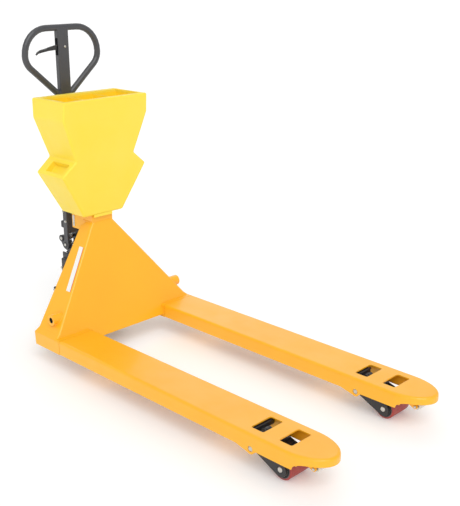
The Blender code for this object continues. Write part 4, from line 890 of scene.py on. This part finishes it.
def roller_seals(side):
    """A seal and a ring on each face of a load roller."""
    low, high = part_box("load_roller_" + side)
    axle = middle_of("roller_axle_" + side)
    work = bmesh.new()
    for face_y, way in ((low.y, -1), (high.y, 1)):
        for inner, outer, thickness, sunk in (LIP_SEAL, HUB_RING):
            place = Vector((axle.x, face_y - way * sunk, axle.z))
            add_ring(work, inner, outer, thickness, place, (0, way, 0))
    finished("roller_seals_" + side, work, LOOKS["cable_black"], "roller_" + side)


def cross_pieces(side):
    """Behind a load roller: the angle across the roller's bracket, and the one across the push rod's end."""
    pivot, rod_y = middle_of("bracket_pin_" + side), middle_of("push_rod_" + side).y
    web, yoke = bmesh.new(), bmesh.new()
    for low_x, low_z, rounding in ((0.004, 0.0125, 0.0012), (0.0415, -0.006, 0.0010)):
        add_box(web, pivot + Vector((low_x, -WEB_HALF_Y, low_z)),
                pivot + Vector((0.046, WEB_HALF_Y, 0.0175)), rounding)
    low_y, high_y = rod_y - ROD_YOKE_HALF_Y, rod_y + ROD_YOKE_HALF_Y
    add_box(yoke, (pivot.x - 0.070, low_y, pivot.z + 0.0240),
            (pivot.x - 0.0235, high_y, pivot.z + 0.0405), 0.0020)
    add_box(yoke, (pivot.x - 0.0285, low_y, pivot.z + 0.0370),
            (pivot.x - 0.0215, high_y, pivot.z + 0.0425), 0.0016)
    finished("rod_yoke_" + side, yoke, LOOKS["black_paint"], "push_rods")
    finished("bracket_web_" + side, web, LOOKS["black_paint"], "bracket_" + side)


def entry_washers(side):
    """A washer outside each face of an entry roller."""
    low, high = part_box("entry_roller_" + side)
    pin = middle_of("entry_pin_" + side)
    work = bmesh.new()
    for face_y, way in ((low.y, -1), (high.y, 1)):
        add_ring(work, 0.0055, 0.0105, 0.0014, Vector((pin.x, face_y + way * 0.0008, pin.z)), (0, way, 0))
    finished("entry_washers_" + side, work, LOOKS["bright_steel"], "frame")


def roller_details():
    """Everything small at the forks' ends."""
    for side, _ in SIDES:
        cross_pieces(side)
        roller_seals(side)
        entry_washers(side)


# ---- indicator and housing details ----
BEZEL_MARGIN = 0.0035
BEZEL_INSIDE, BEZEL_OUTSIDE = 0.002, 0.001
DIGIT_WIDTH, DIGIT_HEIGHT, DIGIT_BAR, DIGIT_PITCH = 0.0105, 0.030, 0.0026, 0.0170
DIGIT_GAP_SHARE = 0.62  # how much of a bar's width each end of a segment leaves free
DIGITS = 5
POINT_AFTER = 2
ZERO_SEGMENTS = (  # a zero's segments: side, height, and whether it lies level
    (0, 1, True), (0, -1, True), (1, 0.5, False), (1, -0.5, False), (-1, 0.5, False), (-1, -0.5, False),
)
LAMPS_Y = (0.070, 0.086, 0.102)
LAMP_DROP = 0.013
LAMP_LENS = ((0.0, 0.0016), (0.0012, 0.0015), (0.0021, 0.0010), (0.0025, 0.0), (0.0025, -0.0008),
             (0.0, -0.0008))
SCREW_INSET = 0.007


def display_bezel(face):
    """Four bars round the window, on the case's face."""
    low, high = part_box("display_window")
    y0, y1 = low.y - BEZEL_MARGIN, high.y + BEZEL_MARGIN
    z0, z1 = low.z - BEZEL_MARGIN, high.z + BEZEL_MARGIN
    bars = (
        (y0, z1 - BEZEL_INSIDE, y1, z1 + BEZEL_OUTSIDE),
        (y0, z0 - BEZEL_OUTSIDE, y1, z0 + BEZEL_INSIDE),
        (y0 - BEZEL_OUTSIDE, z0 - BEZEL_OUTSIDE, y0 + BEZEL_INSIDE, z1 + BEZEL_OUTSIDE),
        (y1 - BEZEL_INSIDE, z0 - BEZEL_OUTSIDE, y1 + BEZEL_OUTSIDE, z1 + BEZEL_OUTSIDE),
    )
    work = bmesh.new()
    for left, bottom, right, top in bars:
        add_box(work, (face - 0.0014, left, bottom), (face + 0.0006, right, top), 0.0006)
    finished("display_bezel", work, LOOKS["dark_plastic"], "frame")


def display_digits():
    """A row of zeros with a point, a hair in front of the panel."""
    low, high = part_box("display_panel")
    depth_low, depth_high = low.x - 0.0005, low.x - 0.0001
    centre_y, centre_z = (low.y + high.y) / 2, (low.z + high.z) / 2
    half_bar = DIGIT_BAR / 2
    gap = DIGIT_BAR * DIGIT_GAP_SHARE
    work = bmesh.new()
    for place in range(DIGITS):
        middle_y = centre_y - (place - DIGITS // 2) * DIGIT_PITCH
        for side, up, level in ZERO_SEGMENTS:
            z = centre_z + up * (DIGIT_HEIGHT - DIGIT_BAR) / 2
            y = middle_y - side * (DIGIT_WIDTH - DIGIT_BAR) / 2
            half_y = DIGIT_WIDTH / 2 - gap if level else half_bar
            half_z = half_bar if level else DIGIT_HEIGHT / 4 - gap
            add_box(work, (depth_low, y - half_y, z - half_z), (depth_high, y + half_y, z + half_z))
        if place == POINT_AFTER:
            y, z = middle_y - DIGIT_PITCH / 2, centre_z - DIGIT_HEIGHT / 2 + half_bar
            add_box(work, (depth_low, y - half_bar, z - half_bar), (depth_high, y + half_bar, z + half_bar))
    finished("display_digits", work, SEGMENT_LOOK, "frame")


KEY_RINGS = {"zero": (0.0028, 0.0040, 0.0), "power": (0.0030, 0.0041, -0.0006)}  # two radii and a height
KEY_BARS = {  # each bar's half width, bottom, top, and how far it stands out
    "zero": (),
    "tare": ((0.0048, -0.0030, -0.0018, 0.0004), (0.0030, -0.0004, 0.0032, 0.0004)),
    "print": ((0.0042, -0.0030, -0.0019, 0.0004), (0.0042, -0.0006, 0.0005, 0.0004),
              (0.0042, 0.0018, 0.0029, 0.0004)),
    "power": ((0.0006, -0.0004, 0.0052, 0.0006),),
}


def key_mark(key):
    """A key's plain mark: a ring, bars, or a ring with a stroke."""
    low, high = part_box(key + "_key")
    centre = Vector((low.x - 0.0001, (low.y + high.y) / 2, (low.z + high.z) / 2))
    work = bmesh.new()
    if key in KEY_RINGS:
        inner, outer, up = KEY_RINGS[key]
        add_ring(work, inner, outer, 0.0005, centre + Vector((0, 0, up)), (-1, 0, 0))
    for half_y, low_z, high_z, proud in KEY_BARS[key]:
        add_box(work, centre + Vector((-proud, -half_y, low_z)), centre + Vector((0.0001, half_y, high_z)))
    finished(key + "_mark", work, LABEL_LOOK, key + "_button", smooth=False)


def indicator_details():
    """The display's bezel and digits, the lamps, the case's screws and the keys' marks."""
    low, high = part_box("indicator_case")
    face = low.x
    display_bezel(face)
    display_digits()
    work = bmesh.new()
    for y in LAMPS_Y:
        add_turned(work, LAMP_LENS, Vector((face, y, high.z - LAMP_DROP)), (-1, 0, 0), 24)
    finished("indicator_lamps", work, LAMP_LOOK, "frame")
    work = bmesh.new()
    for y in (low.y + SCREW_INSET, high.y - SCREW_INSET):
        for z in (low.z + SCREW_INSET, high.z - SCREW_INSET):
            add_dome(work, 0.0034, 0.0016, Vector((face, y, z)), (-1, 0, 0))
    finished("indicator_screws", work, LOOKS["bright_steel"], "frame")
    for key in KEY_BARS:
        key_mark(key)


HOUSING_REAR_X = -0.024
HOUSING_WAIST_Z = 0.758
HOUSING_REAR_LEAN = 0.0391
HOUSING_SCREWS = ((0.070, 0.560), (0.080, 0.790), (0.172, 0.940))  # y and z, on each side
SEAL_GAP, SEAL_OUT = 0.0002, 0.0022
SEAL_DOWN, SEAL_UP = 0.0015, 0.0050


def tray_seal():
    """The strip that closes the slot between the tray and the housing's rim."""
    low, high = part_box("housing_tray")
    work = bmesh.new()
    low_z, high_z = high.z - SEAL_DOWN, high.z + SEAL_UP
    for sign in (-1, 1):
        x = low.x if sign < 0 else high.x
        near, far = sorted((x + sign * SEAL_GAP, x + sign * SEAL_OUT))
        add_box(work, (near, low.y - SEAL_OUT, low_z), (far, high.y + SEAL_OUT, high_z), 0.0004, 1)
        y = low.y if sign < 0 else high.y
        near, far = sorted((y + sign * SEAL_GAP, y + sign * SEAL_OUT))
        add_box(work, (low.x - SEAL_OUT, near, low_z), (high.x + SEAL_OUT, far, high_z), 0.0004, 1)
    finished("tray_seal", work, LOOKS["yellow_plastic"], "frame")


def housing_details():
    """The tray's seal and the screws in the housing's rear wall, which leans back above its waist."""
    tray_seal()
    work = bmesh.new()
    for _, sign in SIDES:
        for y, z in HOUSING_SCREWS:
            rear = HOUSING_REAR_X - HOUSING_REAR_LEAN * max(0.0, z - HOUSING_WAIST_Z)
            add_dome(work, 0.0048, 0.0022, spot(rear, sign * y, z), (-1, 0, 0))
    finished("housing_screws", work, LOOKS["bright_steel"], "frame")


dress_cad_nodes()
frame_details()
deck_details()
pump_details()
make_spring()
handle_details()
roller_details()
indicator_details()
housing_details()


# ---- floor, light and camera ----
FLOOR_HALF_SIZE = 120.0
FLOOR_GAP = 0.0005
SKY_STRENGTH = 0.66
SUNS = (  # name, where the light comes from, power, and the angle that it is spread over
    ("key", (0.75, -0.50, 1.00), 1.15, 40),
    ("fill", (0.55, -1.00, 0.45), 0.30, 60),
    ("back", (-0.90, 0.60, 0.80), 0.35, 50),
)
CAMERA_PLACE = (2.830, -2.061, 1.463)
CAMERA_AZIMUTH, CAMERA_ELEVATION = 44.3, 18.1
CAMERA_LENS = 62.8


def make_stage():
    """A floor that reaches to the horizon."""
    mesh = bpy.data.meshes.new("floor")
    work = bmesh.new()
    bmesh.ops.create_grid(work, x_segments=1, y_segments=1, size=FLOOR_HALF_SIZE)
    work.to_mesh(mesh)
    work.free()
    floor = bpy.data.objects.new("floor", mesh)
    floor.location.z = CAD_LOW.z - FLOOR_GAP
    bpy.context.scene.collection.objects.link(floor)
    mesh.materials.append(floor_look())


def soft_sun(name, heading, power, spread):
    """A broad even light from far away, so that the floor stays one tone."""
    data = bpy.data.lights.new(name, "SUN")
    data.energy = power
    data.angle = math.radians(spread)
    lamp = bpy.data.objects.new(name, data)
    lamp.rotation_euler = Vector(heading).to_track_quat("Z", "Y").to_euler()
    bpy.context.scene.collection.objects.link(lamp)


def make_light():
    """A white sky that lights the object less than the camera sees of it, and the suns."""
    world = bpy.data.worlds.new("studio")
    bpy.context.scene.world = world
    world.use_nodes = True
    tree = world.node_tree
    tree.nodes["Background"].inputs["Color"].default_value = (1.0, 1.0, 1.0, 1)
    seen = tree.nodes.new("ShaderNodeLightPath")
    strength = tree.nodes.new("ShaderNodeMapRange")
    strength.inputs["To Min"].default_value = SKY_STRENGTH
    strength.inputs["To Max"].default_value = 1.0
    tree.links.new(seen.outputs["Is Camera Ray"], strength.inputs["Value"])
    tree.links.new(strength.outputs[0], tree.nodes["Background"].inputs["Strength"])
    for name, heading, power, spread in SUNS:
        soft_sun(name, heading, power, spread)


def make_camera():
    """The view from beyond the fork tips, off the right side and a little above the handle's top."""
    azimuth, elevation = math.radians(CAMERA_AZIMUTH), math.radians(CAMERA_ELEVATION)
    level = math.cos(elevation)
    back = Vector((math.sin(azimuth) * level, -math.cos(azimuth) * level, math.sin(elevation)))
    data = bpy.data.cameras.new("camera")
    data.sensor_width = 36
    data.lens = CAMERA_LENS
    camera = bpy.data.objects.new("camera", data)
    camera.location = spot(*CAMERA_PLACE)
    camera.rotation_euler = back.to_track_quat("Z", "Y").to_euler()
    bpy.context.scene.collection.objects.link(camera)
    bpy.context.scene.camera = camera
    bpy.context.scene.view_settings.view_transform = "Standard"


make_stage()
make_light()
make_camera()
